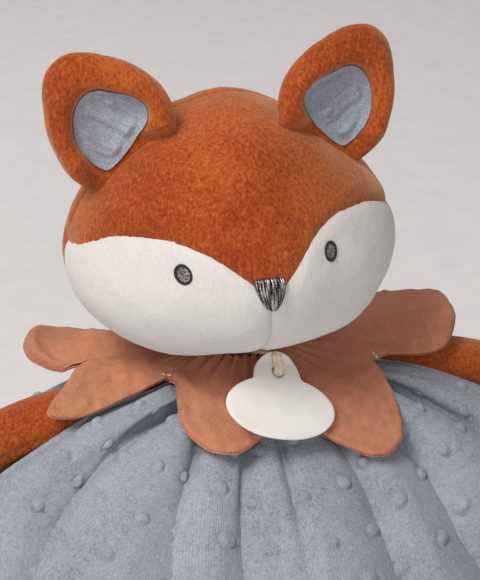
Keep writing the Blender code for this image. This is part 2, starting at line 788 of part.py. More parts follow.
def make_tag_cord(hinge, tag_turn, cord):
    """One cord from the binding down through the tag's hole and back beside itself."""
    along = tag_turn @ Vector((0, 0, -1))
    out = tag_turn @ Vector((0, -1, 0))
    side = Vector((CORD_SPREAD, 0, 0))
    lobe = TAG_HOLE_INSET
    clear = TAG_THICKNESS / 2 + CORD_DIAMETER / 2 + 2 * GAP
    reach = COLLAR_INNER_RADIUS - CORD_DIAMETER / 2 - 2 * GAP
    over = NECK_LEVEL + COLLAR_RISE
    root = Vector((0, -reach, NECK_LEVEL - BINDING_DROP + CORD_DIAMETER / 2))
    turn = Vector((0, -reach - GAP, over + CORD_DIAMETER / 2))
    mid = Vector((0, -COLLAR_INNER_RADIUS - GAP, over + CORD_LIFT_SHARE * CORD_DIAMETER))
    route = [
        root - side,
        turn - side,
        mid - side,
        hinge - along * (lobe + CORD_DIAMETER / 2) + out * clear - side,
        hinge - along * lobe / 2 + out * (clear + CORD_DIAMETER / 4) - side / 2,
        hinge + out * clear * CORD_TUCK_SHARE,
        hinge - out * clear * CORD_TUCK_SHARE,
        hinge - along * lobe / 2 - out * (clear + CORD_DIAMETER / 2) + side / 2,
        hinge - along * (lobe + CORD_DIAMETER / 2) - out * (clear + CORD_DIAMETER / 2) + side,
        mid + side,
        turn + side,
        root + side,
    ]
    line = bpy.data.curves.new("tag_cord", "CURVE")
    line.dimensions = "3D"
    line.bevel_depth = CORD_DIAMETER / 2
    line.bevel_resolution = 2
    line.use_fill_caps = True
    spline = line.splines.new("POLY")
    points = [
        smooth_through([tuple(p) for p in route], i / 4)
        for i in range(4 * (len(route) - 1) + 1)
    ]
    spline.points.add(len(points) - 1)
    for made, point in zip(spline.points, points):
        made.co = (*point, 1)
    line.materials.append(cord)
    made = bpy.data.objects.new("tag_cord", line)
    bpy.context.scene.collection.objects.link(made)


def main():
    clear_scene()
    orange = material("orange_plush", (0.47, 0.14, 0.03), 0.9)
    white = material("white_plush", (0.82, 0.79, 0.76), 0.9)
    stuffing = material("stuffing", (0.85, 0.85, 0.83), 1.0)
    thread = material("dark_thread", (0.06, 0.055, 0.06), 0.5)
    metal_thread = material("pewter_thread", (0.34, 0.30, 0.28), 0.35, 0.8)
    knit = material("blue_knit", (0.27, 0.33, 0.40), 0.95)
    lining = material("blue_lining", (0.33, 0.38, 0.44), 0.95)
    gauze = material("terracotta_gauze", (0.52, 0.24, 0.15), 0.95)
    felt = material("white_felt", (0.82, 0.80, 0.76), 0.8)
    cord = material("cream_cord", (0.70, 0.60, 0.42), 0.8)

    pivot = Vector((0, 0, NECK_LEVEL + PIVOT_RISE))
    neck = empty("neck_turn", pivot)
    head = empty("head_nod", pivot, (0, -HEAD_TILT, -HEAD_LOOK_ASIDE))
    bpy.context.view_layer.update()
    make_head(head, orange, white, stuffing)
    make_face(head, thread, metal_thread)
    for side, sign in (("left", -1), ("right", 1)):
        make_ear(side, sign, head, orange, knit)
        make_arm(side, sign, orange)
    make_neck(neck, gauze)
    make_binding(gauze)
    make_collar(gauze)
    make_blanket(knit, lining)
    make_tag(felt, cord)


main()
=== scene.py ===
"""The looks of a comfort blanket lovey: plush head and arms, quilted knit blanket, petal collar,
embroidery, tag and cord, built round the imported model."""

import math

import bmesh
import bpy
import numpy as np
from mathutils import Matrix, Vector


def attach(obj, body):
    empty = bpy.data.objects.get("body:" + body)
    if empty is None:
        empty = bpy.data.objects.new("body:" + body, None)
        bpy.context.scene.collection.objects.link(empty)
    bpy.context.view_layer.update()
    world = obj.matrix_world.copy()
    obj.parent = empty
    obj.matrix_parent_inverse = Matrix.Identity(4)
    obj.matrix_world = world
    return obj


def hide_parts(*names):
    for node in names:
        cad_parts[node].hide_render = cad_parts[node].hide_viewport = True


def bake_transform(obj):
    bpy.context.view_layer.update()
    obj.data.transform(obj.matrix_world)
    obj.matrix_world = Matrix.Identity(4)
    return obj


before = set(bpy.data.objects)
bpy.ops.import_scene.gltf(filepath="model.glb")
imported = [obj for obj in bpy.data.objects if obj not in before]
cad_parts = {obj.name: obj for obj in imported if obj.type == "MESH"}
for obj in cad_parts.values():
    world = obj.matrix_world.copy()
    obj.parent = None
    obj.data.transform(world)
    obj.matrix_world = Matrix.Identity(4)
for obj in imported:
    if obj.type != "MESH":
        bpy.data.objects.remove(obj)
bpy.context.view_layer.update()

# Head, in a frame whose origin is the nodding pivot
PIVOT_LEVEL = 0.1075
HEAD_HALF_WIDTH = 0.0552
HEAD_HALF_DEPTH = 0.0435
HEAD_HALF_HEIGHT = 0.0450
HEAD_TILT = math.radians(4)
HEAD_LOOK_ASIDE = math.radians(5)
HEAD_SLANT_SHARE = 0.05
CROWN_TAPER_SHARES = (0.22, 0.09)
MUZZLE_REACH = 0.008
MUZZLE_SPREAD = 0.027
MUZZLE_DROP = 0.011
SIDE_SEAM_BACK = 0.007
HEAD_CENTRE = Vector((-0.0045, -0.005, 0.0423))
CHEEK_TOP_SHARES = (
    (0.0, -0.12), (0.06, -0.105), (0.10, -0.06), (0.15, -0.003), (0.23, 0.083), (0.32, 0.16),
    (0.42, 0.213), (0.54, 0.25), (0.74, 0.242), (0.88, 0.155), (1.0, 0.035), (1.2, -0.2),
)
POINT_ASIDE = 0.0025
POINT_FADE = (0.026, 0.016)
RIGHT_CHEEK_DROP = 0.0018
RIGHT_CHEEK_START_SHARE = 0.45
RIGHT_CHEEK_RUN_SHARE = 0.35
SEAM_FUZZ = 0.00030
SIDE_SEAM_FORWARD = 0.0045
HEAD_COLUMNS = 300
HEAD_ROWS = 170
SHELL = 0.0012
SEAM_DEPTH = 0.0012
SEAM_WIDTH = 0.0018
SEAM_SHARPNESS = 1.4
BROW_SEAM_SHARE = 0.75
MIDDLE_SEAM_SHARE = 0.9
DEEPEST_SEAM_SHARE = 1.6
SEAM_FUZZ_SIZE = 0.0012
SIDE_SEAM_FADE = (0.035, 0.014)
CUT_SHARE = 0.02
SLOPE_STEP = 0.0005
GENTLEST_SLOPE = 0.25
# Noise in layers, each with its height, size and seed
HEAD_SWELLS = ((0.0006, 0.022, 3), (0.00022, 0.007, 4))
HEAD_NAP = ((0.00009, 0.0016, 5),)
# The head's underside, which turns close over the cord, stays smooth from one depth to the other
UNDERSIDE = (0.042, 0.028)
# Dent of the chin where it turns over the tag: side and back from the head's centre, spread, depth
CHIN_DENT = (-0.0105, -0.0190, 0.0110, 0.0014)
# Soft swellings and dents of the face: side and height from the head's centre, spread and rise.
# They fade out over a depth towards the back
LOBE_FADE = (0.045, 0.02)
LOBES = (
    (-0.0125, -0.0230, 0.0100, 0.0013), (0.0125, -0.0230, 0.0100, 0.0013),
    (-0.0252, 0.0010, 0.0075, -0.0009), (0.0232, 0.0010, 0.0075, -0.0009),
    (-0.0400, -0.0110, 0.0120, 0.0008), (0.0400, -0.0110, 0.0120, 0.0008),
    (0.0310, -0.0270, 0.0150, 0.0030), (-0.0290, -0.0290, 0.0140, 0.0014),
    (-0.0060, 0.0425, 0.0115, -0.0020),
)
STUFFING_COLUMNS = 64
STUFFING_ROWS = 40
STUFFING_INSET = 0.0042
STUFFING_END = 0.02

# Embroidery
EYE_HALF_WIDTHS = (0.0026, 0.0023)
EYE_HALF_HEIGHT = 0.0034
EYE_RIM_SHARE = 0.70
EYE_SMALLEST_SHARE = 0.004
EYE_ROWS = 34
EYE_COLUMNS = 120
EYE_SPACING = 0.0485
EYE_SUNK = 0.0004
EYE_RIM_RISE = 0.0006
EYE_RIM_RUN = (EYE_RIM_SHARE, 0.08, 1.05, 0.12)
EYE_SATIN_SHARES = (0.45, 0.55)
EYE_MIDDLE_FADE = 0.06
EYE_KNOT_RISE = 0.00045
EYE_KNOT_PITCH = (0.00105, 0.00085)
EYE_KNOT_WANDER = (0.9, 0.0021)
EYE_KNOT_CONTRAST = 0.9
EYE_STITCHES = 13
EYE_EDGE_RISE = 0.00005
EYE_ROUNDING = (1.02, 8)
EYE_BACK = 0.0018
EYE_RISE = 0.0009
EYE_ASIDE = 0.0010
NOSE_HALF_WIDTH = 0.0050
NOSE_HALF_HEIGHT = 0.0057
NOSE_DROP = 0.0066
NOSE_THREADS = 10
NOSE_COLUMNS = 161
NOSE_ROWS = 48
NOSE_TAPER = (0.64, 2.3)
NOSE_TOP_BEND = 0.0004
NOSE_TOP_ASIDE = 0.4
NOSE_FOOT_SHARES = (0.96, 0.22)
NOSE_EDGE_RISE = 0.0003
NOSE_DOME = 0.0014
NOSE_THREAD_RISES = (0.00060, 0.00015)
NOSE_THREAD_STRIDE = 3.7
NOSE_THREAD_ROUNDNESS = 0.55
NOSE_BACK = 0.0016
FACE_STEP = 0.0004

# Ears
EAR_HEIGHT = 0.0435
EAR_THICKNESS = 0.0145
EAR_PLACE_SHARE = 0.584
EAR_LEVEL_SHARE = 0.600
EAR_SKEW = 0.0012
EAR_FORWARD = 0.006
EAR_LEAN = math.radians(24)
EAR_TOE_OUT = math.radians(8)
EAR_ROOT_SHARE = 0.36
EAR_COLUMNS = 120

# Neck, collar and blanket
NECK_LEVEL = 0.100
NECK_BALL_RADIUS = 0.012
NECK_RADIUS = 0.009
BINDING_RADIUS = 0.018
BINDING_HEIGHT = 0.0075
BINDING_DROP = 0.0015
COLLAR_INNER_RADIUS = 0.0138
COLLAR_RISE = 0.0012
COLLAR_REACH = 0.0625
COLLAR_DROP = 0.027
COLLAR_BULGE = 0.0016
COLLAR_REST = 0.0030
COLLAR_EASE = 0.0024
COLLAR_DROOP = 1.0
PETAL_ROUNDNESS = 0.75
PETAL_SHARES = (
    (-134, 0.63, 1.04, 0.38, 0.26),
    (-95, 0.60, 1.00, 0.46, 0.14),
    (-70, 0.36, 0.60, 0.80, 0.10),
    (1, 0.28, 0.73, 1.00, 0.06),
    (68, 0.54, 1.09, 0.16, 0.16),
    (126, 0.60, 0.96, 0.28, 0.10),
    (177, 0.56, 0.96, 0.28, 0.10),
)
HEM_HALF_WIDTH = 0.130
HEM_HALF_DEPTH = 0.108
BLANKET_CLOTH = 0.0014
GAP = 0.0003
FOLD_DEPTH = 0.0095
SEAM_HALF_GAP = 0.0006
BELL_SHARES = (
    (0.945, 0.0, 0.0), (0.915, 0.18, 0.055), (0.875, 0.375, 0.11), (0.81, 0.545, 0.193),
    (0.68, 0.745, 0.354), (0.53, 0.865, 0.488), (0.30, 0.955, 0.69), (0.0, 1.0, 1.0),
)
SHOWN_FRONT_VALLEY_SHARES = (-1.0, -0.63, -0.305, -0.15, 0.175, 0.37, 0.66, 1.0)
FRONT_CREASE_SHARE = -0.02
FULL_FOLD_SHARE = 0.24
BACK_VALLEY_SHARES = (-1.0, -0.69, -0.41, -0.13, 0.15, 0.42, 0.70, 1.0)
SLIT_SHARES = (-0.055, 0.22, 0.90, 0.12)
SLIT_GROWTH_SHARES = (0.15, 0.35)
FOLD_GROWTH = 0.9
FOLD_CALM_SHARE = 0.6

# Arms
ARM_ROOT_RADIUS = 0.0088
ARM_RADIUS = 0.0105
PAW_RADIUS = 0.0122
ARM_PIVOT_OUT = 0.047
ARM_PIVOT_DROP = 0.0145
ARM_LENGTH = 0.082
ARM_START_SLOPE = math.radians(5)
ARM_END_SLOPE = math.radians(34)
ARM_SLIT_CLEARANCE = 0.0009
ARM_SEAT = 0.0009
ARM_RAISE = math.radians(4)

# Tag and cord
TAG_WIDTH = 0.0395
TAG_HEIGHT = 0.0228
TAG_LOBE_RADIUS = 0.0078
TAG_HOLE_RADIUS = 0.0022
TAG_HOLE_INSET = 0.0050
TAG_OUTLINE_RISE = 0.0009
TAG_OUTLINE_ASIDE = 0.0004
TAG_SHOWN_LOBE_RADIUS = 0.0084
TAG_TOP_BEND = 0.0018
TAG_THICKNESS = 0.0011
TAG_SLOPE = math.radians(41)
TAG_TWIST = math.radians(14)
TAG_HINGE = Vector((0, -0.0314, 0.1036))
CORD_DIAMETER = 0.0017
CORD_SPREAD = 0.0013
CORD_TUCK_SHARE = 0.8
CORD_LIFT_SHARE = 1.6
CORD_SWELL = 0.0008
CORD_LAY = 0.0026
CORD_SHOWN_SHARE = 0.30
CORD_SWELL_RUN = (0.25, 0.045, 0.75, 0.045)
CORD_COLUMNS = 32
CORD_GROOVE_SHARE = 0.42
CORD_PLY_SHARE = 0.05
CORD_PLIES = 10
# Any way that the cord's first step does not run along
CORD_FIRST_SIDE = (0.3, 0.9, 0.2)

# Stitches, each a tube of rings at shares of its length
STITCH_RINGS = (0.0, 0.18, 0.5, 0.82, 1.0)
STITCH_COLUMNS = 6
STITCH_END_SHARE = 0.35
STITCH_RISE_SHARE = 0.9
STITCH_SUNK_SHARE = 0.35

SMALLEST = 1e-12
WELD_DISTANCE = 0.00001

# The photograph's view: 480 by 580 pixels
PIXEL = 0.000348
VIEW_SIDE = math.radians(-20)
VIEW_HEIGHT = math.radians(23)
VIEW_DISTANCE = 0.70
PHOTO_SIZE = (480, 580)
NECK_PIXEL = (245, 345)


# Numbers and noise

def ease(t):
    t = np.clip(t, 0.0, 1.0)
    return t * t * (3 - 2 * t)


def smooth_table(table, at):
    """Rows of a table at places counted in rows, on a smooth curve through the rows."""
    table = np.asarray(table, float)
    at = np.asarray(at, float)
    last = len(table) - 1
    low = np.clip(np.floor(at).astype(int), 0, last - 1)
    t = (at - low)[..., None]
    a, b, c, d = (table[np.clip(low + k, 0, last)] for k in (-1, 0, 1, 2))
    return (2 * b + (c - a) * t + (2 * a - 5 * b + 4 * c - d) * t * t
            + (3 * b - a - 3 * c + d) * t ** 3) / 2


def lattice(cells, seed):
    cells = cells.astype(np.int64)
    mixed = cells[..., 0] * 374761393 + cells[..., 1] * 668265263
    mixed = (mixed + cells[..., 2] * 2246822519 + seed * 3266489917) & 0xFFFFFFFF
    mixed = ((mixed ^ (mixed >> 13)) * 1274126177) & 0xFFFFFFFF
    mixed = mixed ^ (mixed >> 16)
    return mixed / 2147483648.0 - 1.0


def noise(points, size, seed=0):
    """Smooth noise from -1 to 1 that changes over about size metres."""
    points = np.asarray(points, float)
    if points.shape[-1] == 2:
        points = np.concatenate([points, np.zeros((*points.shape[:-1], 1))], axis=-1)
    q = points / size
    cell = np.floor(q)
    f = q - cell
    w = f * f * (3 - 2 * f)
    total = 0.0
    for dx in (0, 1):
        for dy in (0, 1):
            for dz in (0, 1):
                share = (w[..., 0] if dx else 1 - w[..., 0])
                share = share * (w[..., 1] if dy else 1 - w[..., 1])
                share = share * (w[..., 2] if dz else 1 - w[..., 2])
                total = total + share * lattice(cell + np.array([dx, dy, dz]), seed)
    return total


def full_turn(steps):
    return np.linspace(0, 2 * math.pi, steps, endpoint=False)


def hill(value, middle, spread):
    return np.exp(-((value - middle) / spread) ** 2)


def window(value, start, rise, end, fall):
    """A share that grows from 0 to 1 after start and is back at 0 at end."""
    return ease((value - start) / rise) * ease((end - value) / fall)


def unit(vectors):
    return vectors / np.maximum(np.linalg.norm(vectors, axis=-1, keepdims=True), SMALLEST)


def run_along(line):
    """Length run at each point of a line."""
    return np.concatenate([[0], np.cumsum(np.linalg.norm(np.diff(line, axis=0), axis=1))])


def swells(points, layers):
    """Noise in layers, each given by its height, size and seed."""
    return sum(height * noise(points, size, seed) for height, size, seed in layers)


# Meshes

def mesh_piece(name, points, faces, finish, uv=None):
    """A smooth mesh piece. uv gives two numbers per point, or is left out."""
    mesh = bpy.data.meshes.new(name)
    mesh.from_pydata([tuple(map(float, p)) for p in points], [], faces)
    build = bmesh.new()
    build.from_mesh(mesh)
    bmesh.ops.recalc_face_normals(build, faces=build.faces)
    build.to_mesh(mesh)
    build.free()
    mesh.shade_smooth()
    if uv is not None:
        layer = mesh.uv_layers.new(name="cloth")
        index = np.empty(len(mesh.loops), np.int32)
        mesh.loops.foreach_get("vertex_index", index)
        layer.data.foreach_set("uv", np.asarray(uv, float)[index].ravel())
    mesh.materials.append(finish)
    made = bpy.data.objects.new(name, mesh)
    bpy.context.scene.collection.objects.link(made)
    return made


def change_mesh(made, change):
    build = bmesh.new()
    build.from_mesh(made.data)
    change(build)
    build.to_mesh(made.data)
    build.free()


def weld(made):
    """Joins points that lie together."""
    def join(build):
        bmesh.ops.remove_doubles(build, verts=build.verts, dist=WELD_DISTANCE)
        bmesh.ops.recalc_face_normals(build, faces=build.faces)

    change_mesh(made, join)
    made.data.shade_smooth()


def grid_faces(rows, columns, closed=False, start=0):
    """Faces between rows of points. closed joins the last column to the first."""
    faces = []
    for row in range(rows - 1):
        for column in range(columns - (not closed)):
            beside = (column + 1) % columns
            a = start + row * columns + column
            b = start + row * columns + beside
            faces.append((a, b, b + columns, a + columns))
    return faces


def tube_faces(rows, columns, start=0):
    """Faces of a tube of rings with a flat cap at each end."""
    last = start + (rows - 1) * columns
    return grid_faces(rows, columns, True, start) + [
        tuple(range(start + columns - 1, start - 1, -1)), tuple(range(last, last + columns))]


def pointed_faces(rows, columns):
    """Faces of a tube of rings whose ends meet in the two points that follow the rings."""
    faces = grid_faces(rows, columns, closed=True)
    point, last = rows * columns, (rows - 1) * columns
    for i in range(columns):
        j = (i + 1) % columns
        faces += [(point, j, i), (point + 1, last + i, last + j)]
    return faces


def grid_normals(points, closed=False):
    """Unit normals of a grid of points, rows by columns by three."""
    if closed:
        wrapped = np.concatenate([points[:, -1:], points, points[:, :1]], axis=1)
        across = (wrapped[:, 2:] - wrapped[:, :-2])
    else:
        across = np.gradient(points, axis=1)
    return unit(np.cross(np.gradient(points, axis=0), across))


def shell_piece(name, outer, inner, finish, closed=False, uv=None):
    """A closed piece of cloth between two grids of points."""
    rows, columns = outer.shape[:2]
    count = rows * columns
    points = np.concatenate([outer.reshape(-1, 3), inner.reshape(-1, 3)])
    faces = grid_faces(rows, columns, closed)
    faces += [tuple(reversed(f)) for f in grid_faces(rows, columns, closed, count)]
    for row in (0, rows - 1):
        for column in range(columns - (not closed)):
            a = row * columns + column
            b = row * columns + (column + 1) % columns
            faces.append((a, b, b + count, a + count))
    if not closed:
        for column in (0, columns - 1):
            for row in range(rows - 1):
                a = row * columns + column
                b = a + columns
                faces.append((a, b, b + count, a + count))
    if uv is not None:
        uv = np.concatenate([uv.reshape(-1, 2), uv.reshape(-1, 2)])
    return mesh_piece(name, points, faces, finish, uv)


def two_strands(name, path, radius, finish, facing, at):
    """A closed tube like two strands side by side. The groove between them is turned to facing
    at one point of the path."""
    path = np.asarray(path, float)
    along = unit(np.gradient(path, axis=0))
    side = np.cross(along[0], CORD_FIRST_SIDE)
    sides = []
    for way in along:
        side = unit(side - way * np.dot(side, way))
        sides.append(side)
    sides = np.array(sides)
    others = np.cross(along, sides)
    turned = math.atan2(np.dot(others[at], facing), np.dot(sides[at], facing))
    turn = full_turn(CORD_COLUMNS)
    lay = 2 * math.pi * run_along(path)[:, None] / CORD_LAY
    reach = 1 - CORD_GROOVE_SHARE + CORD_GROOVE_SHARE * np.abs(np.sin(turn - turned))
    reach = radius[:, None] * (reach + CORD_PLY_SHARE * np.sin(CORD_PLIES * turn - lay))
    around = np.cos(turn)[:, None] * sides[:, None] + np.sin(turn)[:, None] * others[:, None]
    rings = path[:, None] + reach[..., None] * around
    points = np.concatenate([rings.reshape(-1, 3), path[:1], path[-1:]])
    return mesh_piece(name, points, pointed_faces(len(path), CORD_COLUMNS), finish)


def stitch_row(name, line, lift, stitch, gap, radius, finish):
    """Separate low stitches along a line of points, raised along lift, as one piece."""
    run = run_along(line)
    turn = full_turn(STITCH_COLUMNS)[:, None]

    def at(place, table):
        return np.array([np.interp(place, run, table[:, axis]) for axis in range(3)])

    count = max(1, int(run[-1] / (stitch + gap)))
    points, faces = [], []
    for k in range(count):
        start = (k + 0.5) * run[-1] / count - stitch / 2
        faces += tube_faces(len(STITCH_RINGS), STITCH_COLUMNS, len(points))
        for share in STITCH_RINGS:
            place = start + stitch * share
            up = unit(at(place, lift))
            side = np.cross(unit(at(place + stitch / 4, line) - at(place - stitch / 4, line)), up)
            arch = math.sin(math.pi * share)
            wide = radius * (STITCH_END_SHARE + (1 - STITCH_END_SHARE) * arch)
            centre = at(place, line) + up * radius * (STITCH_RISE_SHARE * arch - STITCH_SUNK_SHARE)
            points += list(centre + wide * (np.cos(turn) * side + np.sin(turn) * up))
    return mesh_piece(name, points, faces, finish)


# Materials. Noise scales are in waves to the metre

KNIT_ROW = 0.0011
WEAVE_SLANT = math.radians(38)
WARP_PITCH = 0.00062
WEFT_PITCH = 0.00078
SHEEN_ROUGHNESS = 0.45
GLOSS = 0.25


class Nodes:
    """A short way to write a material's nodes."""

    def __init__(self, name):
        self.made = bpy.data.materials.new(name)
        self.made.use_nodes = True
        self.tree = self.made.node_tree
        self.shader = self.tree.nodes["Principled BSDF"]

    def add(self, kind, **settings):
        node = self.tree.nodes.new(kind)
        for key, value in settings.items():
            setattr(node, key, value)
        return node

    def join(self, source, node, socket):
        self.tree.links.new(source, node.inputs[socket])

    def place(self, scale=(1, 1, 1), uv=False, turn=0.0):
        source = self.add("ShaderNodeTexCoord")
        mapping = self.add("ShaderNodeMapping")
        mapping.inputs["Scale"].default_value = scale
        mapping.inputs["Rotation"].default_value = (0, 0, turn)
        self.join(source.outputs["UV" if uv else "Object"], mapping, "Vector")
        return mapping.outputs["Vector"]

    def noise(self, vector, scale, detail=3.0, roughness=0.55):
        node = self.add("ShaderNodeTexNoise")
        node.inputs["Scale"].default_value = scale
        node.inputs["Detail"].default_value = detail
        node.inputs["Roughness"].default_value = roughness
        self.join(vector, node, "Vector")
        return node.outputs["Fac"]

    def work(self, operation, *values):
        node = self.add("ShaderNodeMath", operation=operation)
        for i, value in enumerate(values):
            if isinstance(value, (int, float)):
                node.inputs[i].default_value = value
            else:
                self.join(value, node, i)
        return node.outputs[0]

    def mix(self, *parts):
        """Values added up, each times its share."""
        parts = [self.work("MULTIPLY", value, share) for value, share in parts]
        total = parts[0]
        for part in parts[1:]:
            total = self.work("ADD", total, part)
        return total

    def wave(self, value, pitch):
        return self.work("SINE", self.work("MULTIPLY", value, 2 * math.pi / pitch))

    def cloth_axes(self, turn=0.0):
        split = self.add("ShaderNodeSeparateXYZ")
        self.join(self.place(uv=True, turn=turn), split, "Vector")
        return split.outputs["X"], split.outputs["Y"]

    def ramp(self, factor, stops):
        node = self.add("ShaderNodeValToRGB")
        ramp = node.color_ramp
        while len(ramp.elements) < len(stops):
            ramp.elements.new(0.5)
        for element, (at, colour) in zip(ramp.elements, stops):
            element.position = at
            element.color = (*colour, 1)
        self.join(factor, node, "Fac")
        return node.outputs["Color"]

    def bump(self, height, strength, distance, normal=None):
        node = self.add("ShaderNodeBump")
        node.inputs["Strength"].default_value = strength
        node.inputs["Distance"].default_value = distance
        self.join(height, node, "Height")
        if normal is not None:
            self.join(normal, node, "Normal")
        return node.outputs["Normal"]

    def finish(self, colour, roughness, normal, sheen=0.0, sheen_tint=(1, 1, 1), metallic=0.0):
        inputs = self.shader.inputs
        if isinstance(colour, tuple):
            inputs["Base Color"].default_value = (*colour, 1)
        else:
            self.join(colour, self.shader, "Base Color")
        if isinstance(roughness, (int, float)):
            inputs["Roughness"].default_value = roughness
        else:
            self.join(roughness, self.shader, "Roughness")
        inputs["Metallic"].default_value = metallic
        inputs["Sheen Weight"].default_value = sheen
        inputs["Sheen Roughness"].default_value = SHEEN_ROUGHNESS
        inputs["Sheen Tint"].default_value = (*sheen_tint, 1)
        inputs["Specular IOR Level"].default_value = GLOSS
        self.join(normal, self.shader, "Normal")
        return self.made


def shade(colour, by):
    return tuple(min(1.0, c * by) for c in colour)


def plush_material(name, dark, middle, light, sheen, tint):
    """Short velvety pile: patches where the nap lies differently, tufts and a fine fibre grain."""
    n = Nodes(name)
    place = n.place()
    patches = n.noise(place, 30, 2.0, 0.5)
    tufts = n.noise(n.place((1, 1, 0.6)), 900, 3.0, 0.7)
    grain = n.noise(place, 2300, 2.0, 0.8)
    mixed = n.mix((patches, 0.26), (tufts, 0.44), (grain, 0.30))
    tone = n.ramp(mixed, [(0.36, dark), (0.48, middle), (0.60, light), (0.74, shade(light, 1.15))])
    normal = n.bump(patches, 0.25, 0.0012)
    normal = n.bump(tufts, 0.55, 0.00050, normal)
    normal = n.bump(grain, 0.6, 0.00028, normal)
    return n.finish(tone, 0.95, normal, sheen, tint)


def knit_material(name, colour, ribs_share=1.0):
    """Fine ribbed knit. The cloth map counts ribs across and metres along."""
    n = Nodes(name)
    across, along = n.cloth_axes()
    rib = n.work("ABSOLUTE", n.wave(across, 2.0))
    loops = n.work("ABSOLUTE", n.wave(along, KNIT_ROW))
    fuzz = n.noise(n.place(), 1250, 3.0, 0.75)
    loose = n.noise(n.place((1, 1, 0.5)), 420, 3.0, 0.7)
    broad = n.noise(n.place(), 34, 2.0)
    shown = n.work("MULTIPLY", rib, n.work("ADD", n.work("MULTIPLY", broad, 1.2), -0.25))
    height = n.mix((shown, 0.75), (loops, 0.22), (fuzz, 0.65))
    mixed = n.mix((shown, 0.13 * ribs_share), (loose, 0.20), (broad, 0.16), (fuzz, 0.56),
                  (loops, 0.05))
    tone = n.ramp(mixed, [
        (0.36, shade(colour, 0.50)), (0.46, shade(colour, 0.88)), (0.55, shade(colour, 1.08)),
        (0.68, shade(colour, 1.42)),
    ])
    normal = n.bump(height, 0.75 * ribs_share, 0.00038)
    return n.finish(tone, 0.95, normal, 0.18, (0.85, 0.9, 1.0))


def gauze_material(name, colour):
    """Double gauze: a fine slanting weave with thicker threads here and there, and crinkles."""
    n = Nodes(name)
    across, along = n.cloth_axes(WEAVE_SLANT)
    weave = n.mix((n.wave(across, WARP_PITCH), 0.45), (n.wave(along, WEFT_PITCH), 0.30))
    slub = n.noise(n.place((1, 0.05, 1), uv=True, turn=WEAVE_SLANT), 520, 3.0, 0.6)
    fuzz = n.noise(n.place(), 1700, 3.0, 0.75)
    crinkle = n.noise(n.place(), 260, 3.0, 0.6)
    broad = n.noise(n.place(), 50, 2.0)
    mixed = n.mix((slub, 0.16), (crinkle, 0.24), (broad, 0.22), (fuzz, 0.38), (weave, 0.10))
    tone = n.ramp(mixed, [
        (0.34, shade(colour, 0.66)), (0.48, colour), (0.60, shade(colour, 1.20)),
        (0.76, shade(colour, 1.5)),
    ])
    normal = n.bump(crinkle, 0.55, 0.0009)
    normal = n.bump(weave, 0.7, 0.00016, normal)
    normal = n.bump(fuzz, 0.45, 0.00022, normal)
    return n.finish(tone, 0.92, normal, 0.12, (1.0, 0.85, 0.75))


def thread_material(name, colour, metallic=0.0, roughness=0.5):
    n = Nodes(name)
    fine = n.noise(n.place((1, 1, 0.3)), 2600, 2.0, 0.6)
    tone = n.ramp(fine, [(0.3, shade(colour, 0.7)), (0.5, colour), (0.72, shade(colour, 1.35))])
    normal = n.bump(fine, 0.35, 0.00015)
    return n.finish(tone, roughness, normal, 0.1, metallic=metallic)


def felt_material(name, colour):
    n = Nodes(name)
    fine = n.noise(n.place(), 1700, 3.0, 0.6)
    broad = n.noise(n.place(), 160, 2.0)
    mixed = n.mix((fine, 0.4), (broad, 0.6))
    tone = n.ramp(mixed, [(0.3, shade(colour, 0.93)), (0.55, colour), (0.8, shade(colour, 1.04))])
    normal = n.bump(fine, 0.28, 0.00022)
    return n.finish(tone, 0.7, normal, 0.1)


def speckled_material(name, dark, light):
    """Small knots of pale and dark thread."""
    n = Nodes(name)
    fine = n.noise(n.place(), 2100, 1.0, 0.5)
    tone = n.ramp(fine, [(0.40, dark), (0.48, shade(light, 0.6)), (0.58, light)])
    return n.finish(tone, 0.5, n.bump(fine, 0.8, 0.0006), 0.1)


def lurex_painted_glints_material(name, dark, light):
    """Shiny metallic thread with painted light: bright glints painted as streaks along each
    thread, and painted shade between them.
    """
    n = Nodes(name)
    # Painted highlight: noise streaks along the threads that stand in for glints
    painted_glints = n.noise(n.place((1.6, 130, 1), uv=True), 1.3, 2.0, 0.6)
    fine = n.noise(n.place(), 2400, 2.0, 0.7)
    mixed = n.mix((painted_glints, 0.7), (fine, 0.3))
    # The tone paints the glints bright and the shade between them dark
    tone = n.ramp(mixed, [(0.455, dark), (0.53, shade(light, 0.35)), (0.60, light)])
    return n.finish(tone, 0.27, n.bump(fine, 0.5, 0.0003), 0.0, metallic=0.8)


ORANGE = plush_material(
    "orange_plush", (0.150, 0.019, 0.0015), (0.305, 0.047, 0.0045), (0.50, 0.120, 0.020),
    0.60, (1.0, 0.68, 0.42))
WHITE = plush_material(
    "white_plush", (0.645, 0.615, 0.59), (0.695, 0.67, 0.65), (0.735, 0.715, 0.695),
    0.15, (1.0, 0.98, 0.96))
STUFFING = plush_material(
    "stuffing", (0.78, 0.78, 0.76), (0.84, 0.84, 0.82), (0.88, 0.88, 0.87), 0.1, (1, 1, 1))
KNIT = knit_material("blue_knit", (0.305, 0.336, 0.392))
LINING = knit_material("blue_lining", (0.31, 0.34, 0.39), 0.45)
GAUZE = gauze_material("terracotta_gauze", (0.50, 0.205, 0.115))
DARK_THREAD = thread_material("dark_thread", (0.026, 0.022, 0.025), 0.0, 0.7)
GREY_THREAD = speckled_material("grey_thread", (0.030, 0.026, 0.030), (0.36, 0.34, 0.345))
# The nose's metallic thread, with glints and the shade between them painted into its colour
PEWTER_THREAD_PAINTED_GLINTS = lurex_painted_glints_material("pewter_thread", (0.018, 0.014, 0.014), (0.90, 0.84, 0.82))
CREAM_THREAD = thread_material("cream_thread", (0.72, 0.62, 0.47))
BLUE_THREAD = thread_material("blue_thread", (0.30, 0.33, 0.38))
CORD = thread_material("cream_cord", (0.74, 0.64, 0.47), 0.0, 0.85)
FELT = felt_material("white_felt", (0.80, 0.785, 0.75))


# Camera, light and floor

SENSOR_HEIGHT = 24
AMBIENT = ((1.0, 0.95, 0.91, 1), 0.22)
BACKGROUND = ((0.80, 0.80, 0.81, 1), 1.0)
